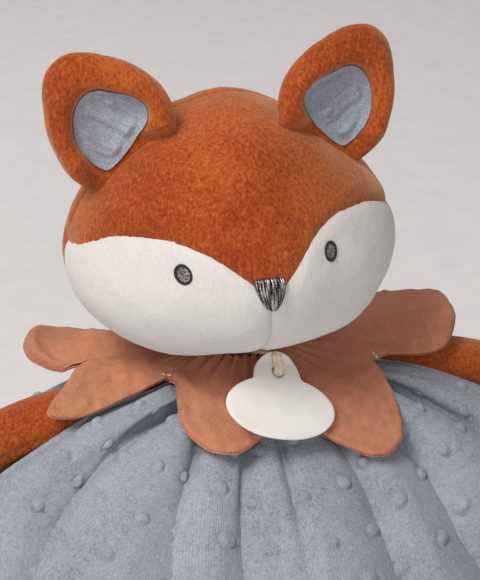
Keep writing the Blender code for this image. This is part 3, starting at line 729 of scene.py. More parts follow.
# Each lamp's place, power, size and colour, and the place that all of them point to
LAMPS = {
    "key": ((-0.74, -0.48, 1.20), 15.8, 0.55, (1.0, 0.97, 0.94)),
    "fill": ((-0.25, -1.15, 0.46), 2.8, 0.5, (1.0, 0.97, 0.95)),
    "rim": ((0.10, 0.90, 1.05), 4.0, 0.7, (1.0, 0.98, 0.95)),
}
LIT_PLACE = Vector((0, 0, 0.1))
FLOOR_HALF_WIDTH = 3.0
FLOOR_TONES = ((0.3, (0.74, 0.74, 0.75)), (0.7, (0.78, 0.78, 0.79)))
FLOOR_ROUGHNESS = 0.8
FLOOR_BUMP = (0.02, 0.0002)


def make_camera():
    side, height = VIEW_SIDE, VIEW_HEIGHT
    look = Vector((-math.sin(side) * math.cos(height), math.cos(side) * math.cos(height),
                   -math.sin(height)))
    right = Vector((math.cos(side), math.sin(side), 0))
    up = right.cross(look)
    data = bpy.data.cameras.new("photo_view")
    camera = bpy.data.objects.new("photo_view", data)
    bpy.context.scene.collection.objects.link(camera)
    data.sensor_fit = "VERTICAL"
    data.sensor_height = SENSOR_HEIGHT
    data.lens = SENSOR_HEIGHT * VIEW_DISTANCE / (PHOTO_SIZE[1] * PIXEL)
    centre = Vector((0, 0, NECK_LEVEL))
    centre += right * (PHOTO_SIZE[0] / 2 - NECK_PIXEL[0]) * PIXEL
    centre += up * (NECK_PIXEL[1] - PHOTO_SIZE[1] / 2) * PIXEL
    camera.location = centre - look * VIEW_DISTANCE
    camera.rotation_mode = "QUATERNION"
    camera.rotation_quaternion = Matrix((right, up, -look)).transposed().to_quaternion()
    bpy.context.scene.camera = camera


def make_light():
    scene = bpy.context.scene
    scene.view_settings.view_transform = "Standard"
    world = bpy.data.worlds.new("studio")
    world.use_nodes = True
    tree = world.node_tree
    back = tree.nodes["Background"]
    shown = tree.nodes.new("ShaderNodeBackground")
    for node, (colour, strength) in ((back, AMBIENT), (shown, BACKGROUND)):
        node.inputs["Color"].default_value = colour
        node.inputs["Strength"].default_value = strength
    mix = tree.nodes.new("ShaderNodeMixShader")
    ray = tree.nodes.new("ShaderNodeLightPath")
    seen = ray.outputs["Is Camera Ray"]
    for kind in ("Is Glossy Ray", "Is Transmission Ray"):
        either = tree.nodes.new("ShaderNodeMath")
        either.operation = "MAXIMUM"
        tree.links.new(seen, either.inputs[0])
        tree.links.new(ray.outputs[kind], either.inputs[1])
        seen = either.outputs[0]
    tree.links.new(seen, mix.inputs[0])
    tree.links.new(back.outputs[0], mix.inputs[1])
    tree.links.new(shown.outputs[0], mix.inputs[2])
    tree.links.new(mix.outputs[0], tree.nodes["World Output"].inputs["Surface"])
    scene.world = world
    for name, (place, energy, size, colour) in LAMPS.items():
        lamp = bpy.data.lights.new(name, "AREA")
        lamp.energy = energy
        lamp.size = size
        lamp.color = colour
        made = bpy.data.objects.new(name, lamp)
        made.location = place
        made.rotation_mode = "QUATERNION"
        made.rotation_quaternion = (LIT_PLACE - made.location).to_track_quat("-Z", "Y")
        scene.collection.objects.link(made)
    n = Nodes("pale_floor")
    grain = n.noise(n.place(), 60, 2.0)
    finish = n.finish(n.ramp(grain, FLOOR_TONES), FLOOR_ROUGHNESS, n.bump(grain, *FLOOR_BUMP))
    half = FLOOR_HALF_WIDTH
    corners = [(-half, -half, 0), (half, -half, 0), (half, half, 0), (-half, half, 0)]
    mesh_piece("floor", corners, [(0, 1, 2, 3)], finish)


# Head

HEAD_TURN = Matrix.Translation((0, 0, PIVOT_LEVEL)) @ (
    Matrix.Rotation(-HEAD_LOOK_ASIDE, 4, "Z") @ Matrix.Rotation(-HEAD_TILT, 4, "Y"))


def placed(points, matrix):
    matrix = np.array(matrix)
    return points @ matrix[:3, :3].T + matrix[:3, 3]


def crown_factor(rise):
    linear, square = CROWN_TAPER_SHARES
    return 1 - linear * rise - square * rise ** 2


def muzzle(x, z):
    return MUZZLE_REACH * np.exp(-(x * x + (z + MUZZLE_DROP) ** 2) / MUZZLE_SPREAD ** 2)


def head_points(longitude, latitude, inset=0.0):
    """Points of the head's skin from its centre, before it is slanted, as x, y and z."""
    side = np.cos(latitude) * np.sin(longitude)
    back = np.cos(latitude) * np.cos(longitude)
    rise = np.sin(latitude)
    x = (HEAD_HALF_WIDTH - inset) * side * crown_factor(rise)
    y = (HEAD_HALF_DEPTH - inset) * back
    z = (HEAD_HALF_HEIGHT - inset) * rise
    y = y - muzzle(x, z) * np.clip(-2 * back, 0, 1)
    return np.stack([x, y, z], axis=-1)


def face_depth(x, z):
    """Y of the head's front from the head's centre."""
    rise = z / HEAD_HALF_HEIGHT
    side = x / (HEAD_HALF_WIDTH * crown_factor(rise))
    back = -np.sqrt(np.clip(1 - rise ** 2 - side ** 2, 0, 1))
    return HEAD_HALF_DEPTH * back - muzzle(x, z) * np.clip(-2 * back, 0, 1)


def from_head_centre(points):
    """Points given from the head's centre, slanted and placed in the scene."""
    points = np.array(points, float)
    points[..., 0] -= HEAD_SLANT_SHARE * points[..., 2]
    return placed(points + np.array(HEAD_CENTRE), HEAD_TURN)


CHEEK_LINE = smooth_table(CHEEK_TOP_SHARES, np.linspace(0, len(CHEEK_TOP_SHARES) - 1, 120))
CHEEK_LINE = CHEEK_LINE * (HEAD_HALF_WIDTH, HEAD_HALF_HEIGHT)


def cheek_top(x):
    """Height of the seam between white and orange. Its point leans to the right of the nose."""
    lean = np.where(np.asarray(x) > 0, POINT_ASIDE * ease((POINT_FADE[0] - x) / POINT_FADE[1]), 0)
    level = np.interp(np.abs(np.maximum(x - lean, np.minimum(x, 0))),
                      CHEEK_LINE[:, 0], CHEEK_LINE[:, 1])
    return level - RIGHT_CHEEK_DROP * ease(
        (x / HEAD_HALF_WIDTH - RIGHT_CHEEK_START_SHARE) / RIGHT_CHEEK_RUN_SHARE)


def above_brow(points):
    """Height above the seam between white and orange, ragged as the pile makes it."""
    fuzz = SEAM_FUZZ * noise(points, SEAM_FUZZ_SIZE, 6)
    return points[..., 2] - cheek_top(points[..., 0]) - fuzz


def behind_side(points):
    """How far points are behind the seam round the head, which bows forward on the left."""
    wide, high = SIDE_SEAM_FADE
    forward = SIDE_SEAM_FORWARD * ease(-points[..., 0] / wide) * ease(points[..., 2] / high + 3)
    return points[..., 1] - SIDE_SEAM_BACK + forward


def split_where(build, value):
    """Cuts a mesh along the line where value is zero."""
    found = value(np.array([v.co for v in build.verts]))
    small = CUT_SHARE * HEAD_HALF_WIDTH / HEAD_COLUMNS
    found = np.where(np.abs(found) < small, 0.0, found)
    level = dict(zip(build.verts, found.tolist()))
    for edge in list(build.edges):
        a, b = edge.verts
        if level[a] * level[b] < 0:
            made = bmesh.utils.edge_split(edge, a, level[a] / (level[a] - level[b]))[1]
            level[made] = 0.0
    for face in list(build.faces):
        ends = [v for v in face.verts if level[v] == 0.0]
        if len(ends) == 2 and not any(set(e.verts) == set(ends) for e in face.edges):
            bmesh.utils.face_split(face, ends[0], ends[1])


def make_head():
    latitude = np.linspace(-math.pi / 2, math.pi / 2, HEAD_ROWS + 2)[1:-1]
    grid = head_points(*np.meshgrid(full_turn(HEAD_COLUMNS), latitude))
    points = np.concatenate([
        grid.reshape(-1, 3), [(0, 0, -HEAD_HALF_HEIGHT)], [(0, 0, HEAD_HALF_HEIGHT)]])
    mesh = bpy.data.meshes.new("head_skin")
    mesh.from_pydata(
        [tuple(map(float, p)) for p in points], [], pointed_faces(HEAD_ROWS, HEAD_COLUMNS))
    build = bmesh.new()
    build.from_mesh(mesh)
    bmesh.ops.recalc_face_normals(build, faces=build.faces)
    bpy.data.meshes.remove(mesh)
    split_where(build, behind_side)
    split_where(build, above_brow)
    split_where(build, lambda places: places[:, 0])
    build.normal_update()
    build.verts.index_update()
    points = np.array([v.co for v in build.verts])
    out = np.array([v.normal for v in build.verts])
    ahead, before = cheek_top(points[:, 0] + SLOPE_STEP), cheek_top(points[:, 0] - SLOPE_STEP)
    slope = (ahead - before) / (2 * SLOPE_STEP)
    tilt = np.stack([-slope, np.zeros_like(slope), np.ones_like(slope)], axis=1)

    def seam_distance(field, gradient):
        flat = gradient - out * (gradient * out).sum(axis=1, keepdims=True)
        return np.abs(field) / np.maximum(np.linalg.norm(flat, axis=1), GENTLEST_SLOPE)

    front = points[:, 1] < SIDE_SEAM_BACK
    below = points[:, 2] < cheek_top(points[:, 0])
    brow = seam_distance(points[:, 2] - cheek_top(points[:, 0]), tilt)
    brow = np.where(front, brow, 1.0)
    rear = seam_distance(behind_side(points), np.tile([0.0, 1.0, 0.0], (len(points), 1)))
    middle = seam_distance(points[:, 0], np.tile([1.0, 0.0, 0.0], (len(points), 1)))
    middle = np.where(front & below, middle, 1.0)
    sunk = sum(
        SEAM_DEPTH * share * np.exp(-(distance / SEAM_WIDTH) ** SEAM_SHARPNESS)
        for distance, share in (
            (brow, BROW_SEAM_SHARE), (rear, 1), (middle, MIDDLE_SEAM_SHARE)))
    swell = swells(points, HEAD_SWELLS)
    swell = swell * ease((points[:, 2] + UNDERSIDE[0]) / (UNDERSIDE[0] - UNDERSIDE[1]))
    for x, z, spread, rise in LOBES:
        away = np.hypot(points[:, 0] - x, points[:, 2] - z) / spread
        fade = ease((LOBE_FADE[0] - points[:, 1]) / LOBE_FADE[1])
        swell = swell + rise * np.exp(-away ** 2) * fade
    x, y, spread, depth = CHIN_DENT
    away = np.hypot(points[:, 0] - x, points[:, 1] - y) / spread
    swell = swell - depth * np.exp(-away ** 2) * ease(-points[:, 2] / UNDERSIDE[1])
    sunk = np.minimum(sunk, DEEPEST_SEAM_SHARE * SEAM_DEPTH)
    points = points + out * (swell + swells(points, HEAD_NAP) - sunk)[:, None]
    shown = {"cheek_left": WHITE, "cheek_right": WHITE, "forehead_panel": ORANGE,
             "head_back_panel": ORANGE}
    groups = {name: [] for name in shown}
    centres = np.array([face.calc_center_median() for face in build.faces])
    behind, above = behind_side(centres) > 0, above_brow(centres) > 0
    for face, is_behind, is_above, is_left in zip(build.faces, behind, above, centres[:, 0] < 0):
        cheek = "cheek_left" if is_left else "cheek_right"
        name = "head_back_panel" if is_behind else "forehead_panel" if is_above else cheek
        groups[name].append([v.index for v in face.verts])
    build.free()
    for name, faces in groups.items():
        used = sorted({i for f in faces for i in f})
        new = {old: i for i, old in enumerate(used)}
        faces = [[new[i] for i in f] for f in faces]
        edges = {}
        for face in faces:
            for a, b in zip(face, face[1:] + face[:1]):
                edges[(a, b)] = edges.get((a, b), 0) + 1
        rim = [(a, b) for a, b in edges if (b, a) not in edges]
        outer = points[used]
        inner = outer - out[used] * SHELL
        count = len(used)
        closed = [tuple(f) for f in faces]
        closed += [tuple(i + count for i in reversed(f)) for f in faces]
        closed += [(b, a, a + count, b + count) for a, b in rim]
        made = mesh_piece(
            f"{name}_plush", from_head_centre(np.concatenate([outer, inner])), closed, shown[name])
        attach(made, "head")
        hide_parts(name)
    latitude = np.linspace(STUFFING_END - math.pi / 2, math.pi / 2 - STUFFING_END, STUFFING_ROWS)
    grid = head_points(*np.meshgrid(full_turn(STUFFING_COLUMNS), latitude), inset=STUFFING_INSET)
    faces = tube_faces(STUFFING_ROWS, STUFFING_COLUMNS)
    made = mesh_piece("head_stuffing", from_head_centre(grid.reshape(-1, 3)), faces, STUFFING)
    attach(made, "head")
    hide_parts("head_filling")


def on_face(x, z, lift):
    """Points a distance in front of the face, from the head's centre."""
    step = FACE_STEP
    dx = (face_depth(x + step, z) - face_depth(x - step, z)) / (2 * step)
    dz = (face_depth(x, z + step) - face_depth(x, z - step)) / (2 * step)
    out = unit(np.stack([dx, -np.ones_like(dx), dz], axis=-1))
    return np.stack([x, face_depth(x, z), z], axis=-1) + out * lift[..., None]


def patch(name, front, back, finish, rim, rim_row):
    """A closed pad from two polar grids, each with its middle as the first row. It has another
    finish from rim_row outwards."""
    columns = front.shape[1]
    made = shell_piece(name, from_head_centre(front), from_head_centre(back), finish, closed=True)
    made.data.materials.append(rim)
    for polygon in made.data.polygons[rim_row * columns:]:
        polygon.material_index = 1
    weld(made)
    return made


def make_eyes():
    for name, sign, half_width in (
        ("eye_left", -1, EYE_HALF_WIDTHS[0]), ("eye_right", 1, EYE_HALF_WIDTHS[1]),
    ):
        turn = full_turn(EYE_COLUMNS)
        share = np.linspace(0.0, 1.0, EYE_ROWS)
        share[0] = EYE_SMALLEST_SHARE
        turn, share = np.meshgrid(turn, share)
        middle = sign * EYE_SPACING / 2 - EYE_ASIDE
        x = middle + half_width * share * np.sin(turn)
        z = EYE_RISE + EYE_HALF_HEIGHT * share * np.cos(turn)
        satin = EYE_SATIN_SHARES[0] + EYE_SATIN_SHARES[1] * np.abs(np.sin(EYE_STITCHES * turn))
        wander = EYE_KNOT_WANDER[0] * np.sin(2 * math.pi * z / EYE_KNOT_WANDER[1])
        knots = np.sin(2 * math.pi * x / EYE_KNOT_PITCH[0] + wander)
        knots = EYE_KNOT_CONTRAST * knots * np.sin(2 * math.pi * z / EYE_KNOT_PITCH[1])
        inside = ease((EYE_RIM_SHARE - share) / EYE_MIDDLE_FADE)
        lift = -EYE_SUNK + EYE_RIM_RISE * window(share, *EYE_RIM_RUN) * satin
        lift = lift + inside * EYE_KNOT_RISE * ease(0.5 + knots)
        full, power = EYE_ROUNDING
        lift = lift * np.sqrt(np.clip(full - share ** power, 0, 1)) + EYE_EDGE_RISE
        front = on_face(x, z, lift)
        back = on_face(x, z, np.full_like(x, -EYE_BACK))
        made = patch(f"{name}_stitches", front, back, GREY_THREAD, DARK_THREAD,
                     int(EYE_RIM_SHARE * EYE_ROWS))
        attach(made, "head")
        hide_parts(name)


def make_nose():
    across, down = np.meshgrid(np.linspace(-1, 1, NOSE_COLUMNS), np.linspace(0, 1, NOSE_ROWS))
    x = NOSE_HALF_WIDTH * (1 - NOSE_TAPER[0] * down ** NOSE_TAPER[1]) * across
    top = -NOSE_DROP + NOSE_HALF_HEIGHT - NOSE_TOP_BEND * (across + NOSE_TOP_ASIDE) ** 2
    foot = NOSE_FOOT_SHARES[0] - NOSE_FOOT_SHARES[1] * across ** 2
    foot = -NOSE_DROP - NOSE_HALF_HEIGHT * foot
    z = top + (foot - top) * down
    count = NOSE_THREADS / 2 * (across + 1)
    thread = np.abs(np.sin(math.pi * count))
    each = noise(np.stack([np.floor(count) * NOSE_THREAD_STRIDE, 0 * count], axis=-1), 1.0, 15)
    dome = np.clip(1 - across ** 4, 0, 1) * np.clip(1 - (2 * down - 1) ** 6, 0, 1)
    rise = NOSE_THREAD_RISES[0] + NOSE_THREAD_RISES[1] * each
    lift = NOSE_EDGE_RISE + NOSE_DOME * dome ** 0.5 + rise * thread ** NOSE_THREAD_ROUNDNESS
    front = on_face(x, z, lift)
    back = on_face(x, z, np.full_like(x, -NOSE_BACK))
    uv = np.stack([count, down * 2 * NOSE_HALF_HEIGHT], axis=-1)
    made = shell_piece("nose_satin", from_head_centre(front), from_head_centre(back),
                       PEWTER_THREAD_PAINTED_GLINTS, uv=uv)
    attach(made, "head")
    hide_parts("nose")


# Ears

EAR_PROFILE_SHARES = (
    (0.0, 0.30), (0.45, 0.36), (0.78, 0.27), (0.95, 0.06), (1.0, -0.16), (0.92, -0.42),
    (0.77, -0.52), (0.62, -0.42), (0.52, -0.12), (0.28, 0.03), (0.0, 0.05),
)
CUP_SHARE = 0.52
# Reach from a middle point every 15 degrees, from the tip towards the ear's outer side
EAR_OUTLINE = (
    0.0267, 0.0257, 0.0228, 0.0200, 0.0187, 0.0180, 0.0180, 0.0191, 0.0204, 0.0220, 0.0232, 0.0238,
    0.0240, 0.0240, 0.0238, 0.0232, 0.0230, 0.0229, 0.0226, 0.0223, 0.0222, 0.0226, 0.0235, 0.0253,
)
CUP_MIDDLE = (-0.0013, 0.0150)
CUP_OUTLINE = (
    0.0120, 0.0117, 0.0111, 0.0107, 0.0103, 0.0104, 0.0105, 0.0108, 0.0115, 0.0132, 0.0143, 0.0118,
    0.0098, 0.0089, 0.0086, 0.0089, 0.0101, 0.0118, 0.0127, 0.0124, 0.0115, 0.0107, 0.0107, 0.0116,
)
EAR_ROWS_PER_STEP = 7
EAR_SMALLEST_SHARE = 0.004
EAR_ROOT_FLAT_SHARE = 0.85
EAR_ROOT_RUN = (0.35, 0.5)
# Rows of the profile where the rim's seam lies and where the lining is sewn in
EAR_SEAM = (3.6, 0.16, 0.0006)
EAR_LINING_SEAM = (8.0, 0.5, 0.0004)
EAR_CALM_ROWS = 0.8
EAR_SWELLS = ((0.00022, 0.010, 11), (0.00008, 0.0018, 12))
# Two heights in the ear's own frame, the root's and one above it. Points are found at them, but
# nothing uses them
EAR_BEND = (-0.001, 0.012)
# The lining's folds, ribs and knots
LINING_ROWS = 70
LINING_START = 2.35
LINING_CALM_SHARES = (0.50, 0.14)
EAR_RIB_SLANT = math.radians(55)
EAR_RIB_PITCH = 0.0009
EAR_RIB_RISE = 0.00009
EAR_FOLDS = ((0.0005, 0.0085), (0.0002, 0.0033))
EAR_FOLD_WANDER = (0.0012, 0.009)
EAR_PUCKER = (0.0002, 0.004)
EAR_KNOTS = {"left": (-0.0052, 0.0218), "right": (-0.0040, 0.0120)}
EAR_KNOT_SIZE = 0.0019
EAR_KNOT_RISE = 0.0011
LINING_FRONT = 0.0010
LINING_BACK = 0.0002


def around(table, turn):
    """A closed table's value at turns, on a smooth curve."""
    count = len(table)
    wide = np.array(table * 3)[:, None]
    return smooth_table(wide, np.asarray(turn) / (2 * math.pi) % 1 * count + count)[..., 0]


def ear_grid(sign, profile, turn):
    """Points of an ear in its own frame: rows of a profile by turns from the tip outwards."""
    share = profile[:, :1]
    rim = np.stack([around(EAR_OUTLINE, turn) * np.sin(turn),
                    EAR_HEIGHT * EAR_ROOT_SHARE + around(EAR_OUTLINE, turn) * np.cos(turn)])
    cup = np.stack([CUP_MIDDLE[0] + around(CUP_OUTLINE, turn) * np.sin(turn),
                    CUP_MIDDLE[1] + around(CUP_OUTLINE, turn) * np.cos(turn)])
    behind = np.arange(len(profile))[:, None] < np.argmax(profile[:, 0])
    flat = []
    for axis, centre in ((0, 0.0), (1, EAR_HEIGHT * EAR_ROOT_SHARE)):
        back = centre + (rim[axis] - centre) * share
        edge = cup[axis] + (rim[axis] - cup[axis]) * (share - CUP_SHARE) / (1 - CUP_SHARE)
        inside = CUP_MIDDLE[axis] + (cup[axis] - CUP_MIDDLE[axis]) * share / CUP_SHARE
        flat.append(np.where(behind, back, np.where(share > CUP_SHARE, edge, inside)))
    root = ease((-np.cos(turn) - EAR_ROOT_RUN[0]) / EAR_ROOT_RUN[1])
    depth = profile[:, 1:2] * EAR_THICKNESS
    depth = np.where(depth < 0, depth * (1 - EAR_ROOT_FLAT_SHARE * root), depth)
    return np.stack([sign * flat[0], depth, flat[1]], axis=-1)


def ear_profile(first, last, rows):
    profile = smooth_table(EAR_PROFILE_SHARES, np.linspace(first, last, rows))
    profile[:, 0] = np.clip(profile[:, 0], EAR_SMALLEST_SHARE, 1.0)
    return profile


def make_ears():
    turn = full_turn(EAR_COLUMNS)
    last = len(EAR_PROFILE_SHARES) - 1
    for side, sign in (("left", -1), ("right", 1)):
        x = sign * EAR_PLACE_SHARE * HEAD_HALF_WIDTH
        z = EAR_LEVEL_SHARE * HEAD_HALF_HEIGHT - sign * EAR_SKEW
        y = float(face_depth(np.array(x), np.array(z))) + EAR_FORWARD
        place = HEAD_CENTRE + Vector((x - HEAD_SLANT_SHARE * z, y, z))
        ear_turn = HEAD_TURN @ Matrix.Translation(place) @ (
            Matrix.Rotation(sign * EAR_TOE_OUT, 4, "Z") @ Matrix.Rotation(sign * EAR_LEAN, 4, "Y"))
        rows = EAR_ROWS_PER_STEP * last + 1
        at = np.linspace(0, last, rows)
        grid = ear_grid(sign, ear_profile(0, last, rows), turn)
        out = grid_normals(grid, closed=True)
        out = out * np.sign((out[1] * (0, 1, 0)).sum(axis=-1).mean())
        moved = swells(grid, EAR_SWELLS)
        for row, spread, depth in (EAR_SEAM, EAR_LINING_SEAM):
            moved = moved - depth * hill(at, row, spread)[:, None]
        moved = moved * ease(np.minimum(at, last - at) / EAR_CALM_ROWS)[:, None]
        grid = grid + out * moved[..., None]
        made = mesh_piece(f"ear_{side}_plush", placed(grid.reshape(-1, 3), ear_turn),
                          tube_faces(rows, EAR_COLUMNS), ORANGE)
        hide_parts(f"ear_{side}")
        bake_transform(made)
        make_ear_lining(side, sign, turn, ear_turn)


def make_ear_lining(side, sign, turn, ear_turn):
    """Knit in the cup of an ear, with a few folds that run slanting to the root."""
    last = len(EAR_PROFILE_SHARES) - 1
    profile = ear_profile(last - LINING_START, last, LINING_ROWS)
    top = ear_grid(sign, profile, turn)
    under = top.copy()
    x, z = sign * top[..., 0], top[..., 2]
    across = z * math.cos(EAR_RIB_SLANT) - x * math.sin(EAR_RIB_SLANT)
    along = z * math.sin(EAR_RIB_SLANT) + x * math.cos(EAR_RIB_SLANT)
    free = ease((LINING_CALM_SHARES[0] - profile[:, 0]) / LINING_CALM_SHARES[1])[:, None]
    bend = across + EAR_FOLD_WANDER[0] * noise(top, EAR_FOLD_WANDER[1], 23)
    fold = sum(rise * (1 + np.sin(2 * math.pi * bend / pitch + phase))
               for (rise, pitch), phase in zip(EAR_FOLDS, (sign, 0)))
    pucker = EAR_PUCKER[0] * (1 + noise(top, EAR_PUCKER[1], 21))
    knot = np.hypot(x - EAR_KNOTS[side][0], z - EAR_KNOTS[side][1]) / EAR_KNOT_SIZE
    ribs = EAR_RIB_RISE * np.abs(np.sin(math.pi * across / EAR_RIB_PITCH))
    raised = fold + pucker + EAR_KNOT_RISE * np.exp(-knot ** 4)
    top[..., 1] -= LINING_FRONT + ribs + raised * free
    under[..., 1] -= LINING_BACK
    uv = np.stack([across / EAR_RIB_PITCH, along], axis=-1)
    made = shell_piece(
        f"ear_lining_{side}_knit", placed(top, ear_turn), placed(under, ear_turn), KNIT,
        closed=True, uv=uv)
    change_mesh(made, lambda build: bmesh.ops.holes_fill(
        build, edges=[e for e in build.edges if e.is_boundary]))
    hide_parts(f"ear_lining_{side}")
    root, free = (ear_turn @ Vector((0, 0, height)) for height in EAR_BEND)
    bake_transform(made)


# Neck

NECK_COLUMNS = 160
NECK_ROWS = 60
NECK_FOOT_SHARE = 0.3
NECK_INSET = 0.0004
NECK_PLEATS = 22
NECK_PLEAT_DEPTH = 0.00035
NECK_PLEAT_END = 0.004
NECK_PLEAT_WANDER = (0.6, 3)
NECK_TIP_RADIUS = 0.00005
BINDING_COLUMNS = 32
BINDING_STEPS = 180
BINDING_PLEATS = 30
BINDING_PLEAT_SHARE = 0.05
BINDING_SQUARENESS = 0.7
BINDING_INSET = 0.0002


def ring_points(reach, turn, level):
    """Points round the upright axis."""
    return np.stack([reach * np.sin(turn), -reach * np.cos(turn), level + 0 * reach], axis=-1)


def make_neck():
    low = NECK_LEVEL - BINDING_DROP - BINDING_HEIGHT
    t = np.linspace(0, 1, NECK_ROWS)[:, None]
    meet = math.asin(math.sqrt(1 - (NECK_RADIUS / NECK_BALL_RADIUS) ** 2))
    share = np.clip((t - NECK_FOOT_SHARE) / (1 - NECK_FOOT_SHARE), 0, 1)
    latitude = -meet + (math.pi / 2 + meet) * share
    foot = PIVOT_LEVEL - math.sqrt(NECK_BALL_RADIUS ** 2 - NECK_RADIUS ** 2)
    below = t < NECK_FOOT_SHARE
    radius = np.where(below, NECK_RADIUS, NECK_BALL_RADIUS * np.cos(latitude))
    level = np.where(below, low + (foot - low) * t / NECK_FOOT_SHARE,
                     PIVOT_LEVEL + NECK_BALL_RADIUS * np.sin(latitude))
    turn = full_turn(NECK_COLUMNS)
    wander = NECK_PLEAT_WANDER[0] * np.sin(turn * NECK_PLEAT_WANDER[1])
    pleat = NECK_PLEAT_DEPTH * np.sin(turn * NECK_PLEATS + wander)
    reach = radius - NECK_INSET + pleat * (radius > NECK_PLEAT_END)
    grid = ring_points(np.maximum(reach, NECK_TIP_RADIUS), turn, level)
    uv = np.stack([turn * NECK_RADIUS + 0 * level, level + 0 * turn], axis=-1).reshape(-1, 2)
    made = mesh_piece("neck_gathers", grid.reshape(-1, 3), tube_faces(NECK_ROWS, NECK_COLUMNS),
                      GAUZE, uv)
    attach(made, "neck")
    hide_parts("neck")
    # The binding is a rolled ring
    middle = (NECK_RADIUS + BINDING_RADIUS) / 2 + BINDING_INSET
    half = (BINDING_RADIUS - NECK_RADIUS) / 2 - BINDING_INSET
    roll = full_turn(BINDING_COLUMNS)
    turn = full_turn(BINDING_STEPS)[:, None]
    pleat = 1 + BINDING_PLEAT_SHARE * np.sin(turn * BINDING_PLEATS)
    outward, upward = (
        np.sign(way) * np.abs(way) ** BINDING_SQUARENESS for way in (np.cos(roll), np.sin(roll)))
    centre = NECK_LEVEL - BINDING_DROP - BINDING_HEIGHT / 2
    grid = ring_points(middle + half * outward * pleat, turn, centre + BINDING_HEIGHT / 2 * upward)
    closed = np.concatenate([grid, grid[:1]])
    made = mesh_piece("neck_binding_roll", closed.reshape(-1, 3),
                      grid_faces(BINDING_STEPS + 1, BINDING_COLUMNS, closed=True), GAUZE)
    weld(made)
    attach(made, "blanket")
    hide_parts("neck_binding")


# Collar and blanket

def bell_size(down):
    row = smooth_table(BELL_SHARES, down * (len(BELL_SHARES) - 1))
    neck = BINDING_RADIUS + GAP + BLANKET_CLOTH
    half_width = neck + (HEM_HALF_WIDTH - neck) * row[..., 1]
    half_depth = neck + (HEM_HALF_DEPTH - neck) * row[..., 2]
    return NECK_LEVEL * row[..., 0], half_width, half_depth


CREST_HALVINGS = 16


def bell_crest(x, y):
    """Height of the folds' tops over a place, found by halving."""
    low, high = np.zeros_like(x), np.ones_like(x)
    for _ in range(CREST_HALVINGS):
        down = (low + high) / 2
        level, half_width, half_depth = bell_size(down)
        push = FOLD_DEPTH * down ** FOLD_GROWTH + BLANKET_CLOTH
        outside = np.hypot(x / (half_width + push), y / (half_depth + push)) > 1
        low = np.where(outside, down, low)
        high = np.where(outside, high, down)
    return level


def arm_line(steps=8):
    """Way out, way down, slope and radius along an arm."""
    line = []
    out, down = 0.0, 0.0
    for step in range(steps + 1):
        along = step / steps
        slope = ARM_START_SLOPE + (ARM_END_SLOPE - ARM_START_SLOPE) * float(ease(along))
        if step:
            out += ARM_LENGTH / steps * math.cos(slope)
            down += ARM_LENGTH / steps * math.sin(slope)
        radius = ARM_ROOT_RADIUS + (ARM_RADIUS - ARM_ROOT_RADIUS) * float(ease(3 * along))
        radius += (PAW_RADIUS - ARM_RADIUS) * float(ease(2 * along - 1))
        line.append((out, down, slope, radius))
    return np.array(line)


def arm_crest(x, y):
    line = arm_line()
    out = np.abs(x) - ARM_PIVOT_OUT
    ahead = np.maximum(0.0, out)
    down = np.interp(ahead, line[:, 0], line[:, 1])
    wide = np.interp(ahead, line[:, 0], line[:, 3]) + COLLAR_REST
    top = np.sqrt(np.maximum(0.0, wide ** 2 - y ** 2 - np.minimum(0.0, out) ** 2))
    level = NECK_LEVEL - ARM_PIVOT_DROP - down + top + ahead * math.tan(ARM_RAISE)
    return np.where((out < -wide) | (np.abs(y) > wide), 0.0, level)


def collar_surface(petals, out, roundness=PETAL_ROUNDNESS):
    """Points midway between the collar's layers, at petals counted round and shares out."""
    table = np.array(PETAL_SHARES, float)
    count = len(table)
    petal = np.floor(petals).astype(int) % count
    across = petals - np.floor(petals)
    here = table[petal]
    beside = table[(petal + 1) % count]
    other = table[(petal + np.where(across > 0.5, 1, -1)) % count]
    width = (beside[..., 0] - here[..., 0]) % 360
    angle = np.radians(here[..., 0] + width * across)
    hump = np.clip(np.sin(math.pi * across), 0, 1) ** roundness
    lean = ease(np.abs(across - 0.5))
    tip = here[..., 2] + (other[..., 2] - here[..., 2]) * lean
    notch = here[..., 1] + (beside[..., 1] - here[..., 1]) * across
    length = notch + (here[..., 2] - notch) * hump
    drop = (here[..., 3] + (other[..., 3] - here[..., 3]) * lean) * length / tip
    arch = here[..., 4] * np.sin(math.pi * across) ** 2
    radius = COLLAR_INNER_RADIUS + COLLAR_REACH * out * length
    rise = COLLAR_DROP * (arch * out - drop * out ** COLLAR_DROOP)
    rise = rise + COLLAR_BULGE * 4 * out * (1 - out)
    x = radius * np.sin(angle)
    y = -radius * np.cos(angle)
    under = COLLAR_REST + np.maximum(bell_crest(x, y), arm_crest(x, y))
    over = NECK_LEVEL + COLLAR_RISE + rise - under
    level = under + (over + np.hypot(over, COLLAR_EASE)) / 2
    return np.stack([x, y, level], axis=-1), length


SHOWN_REACH_BLUR = 0.02
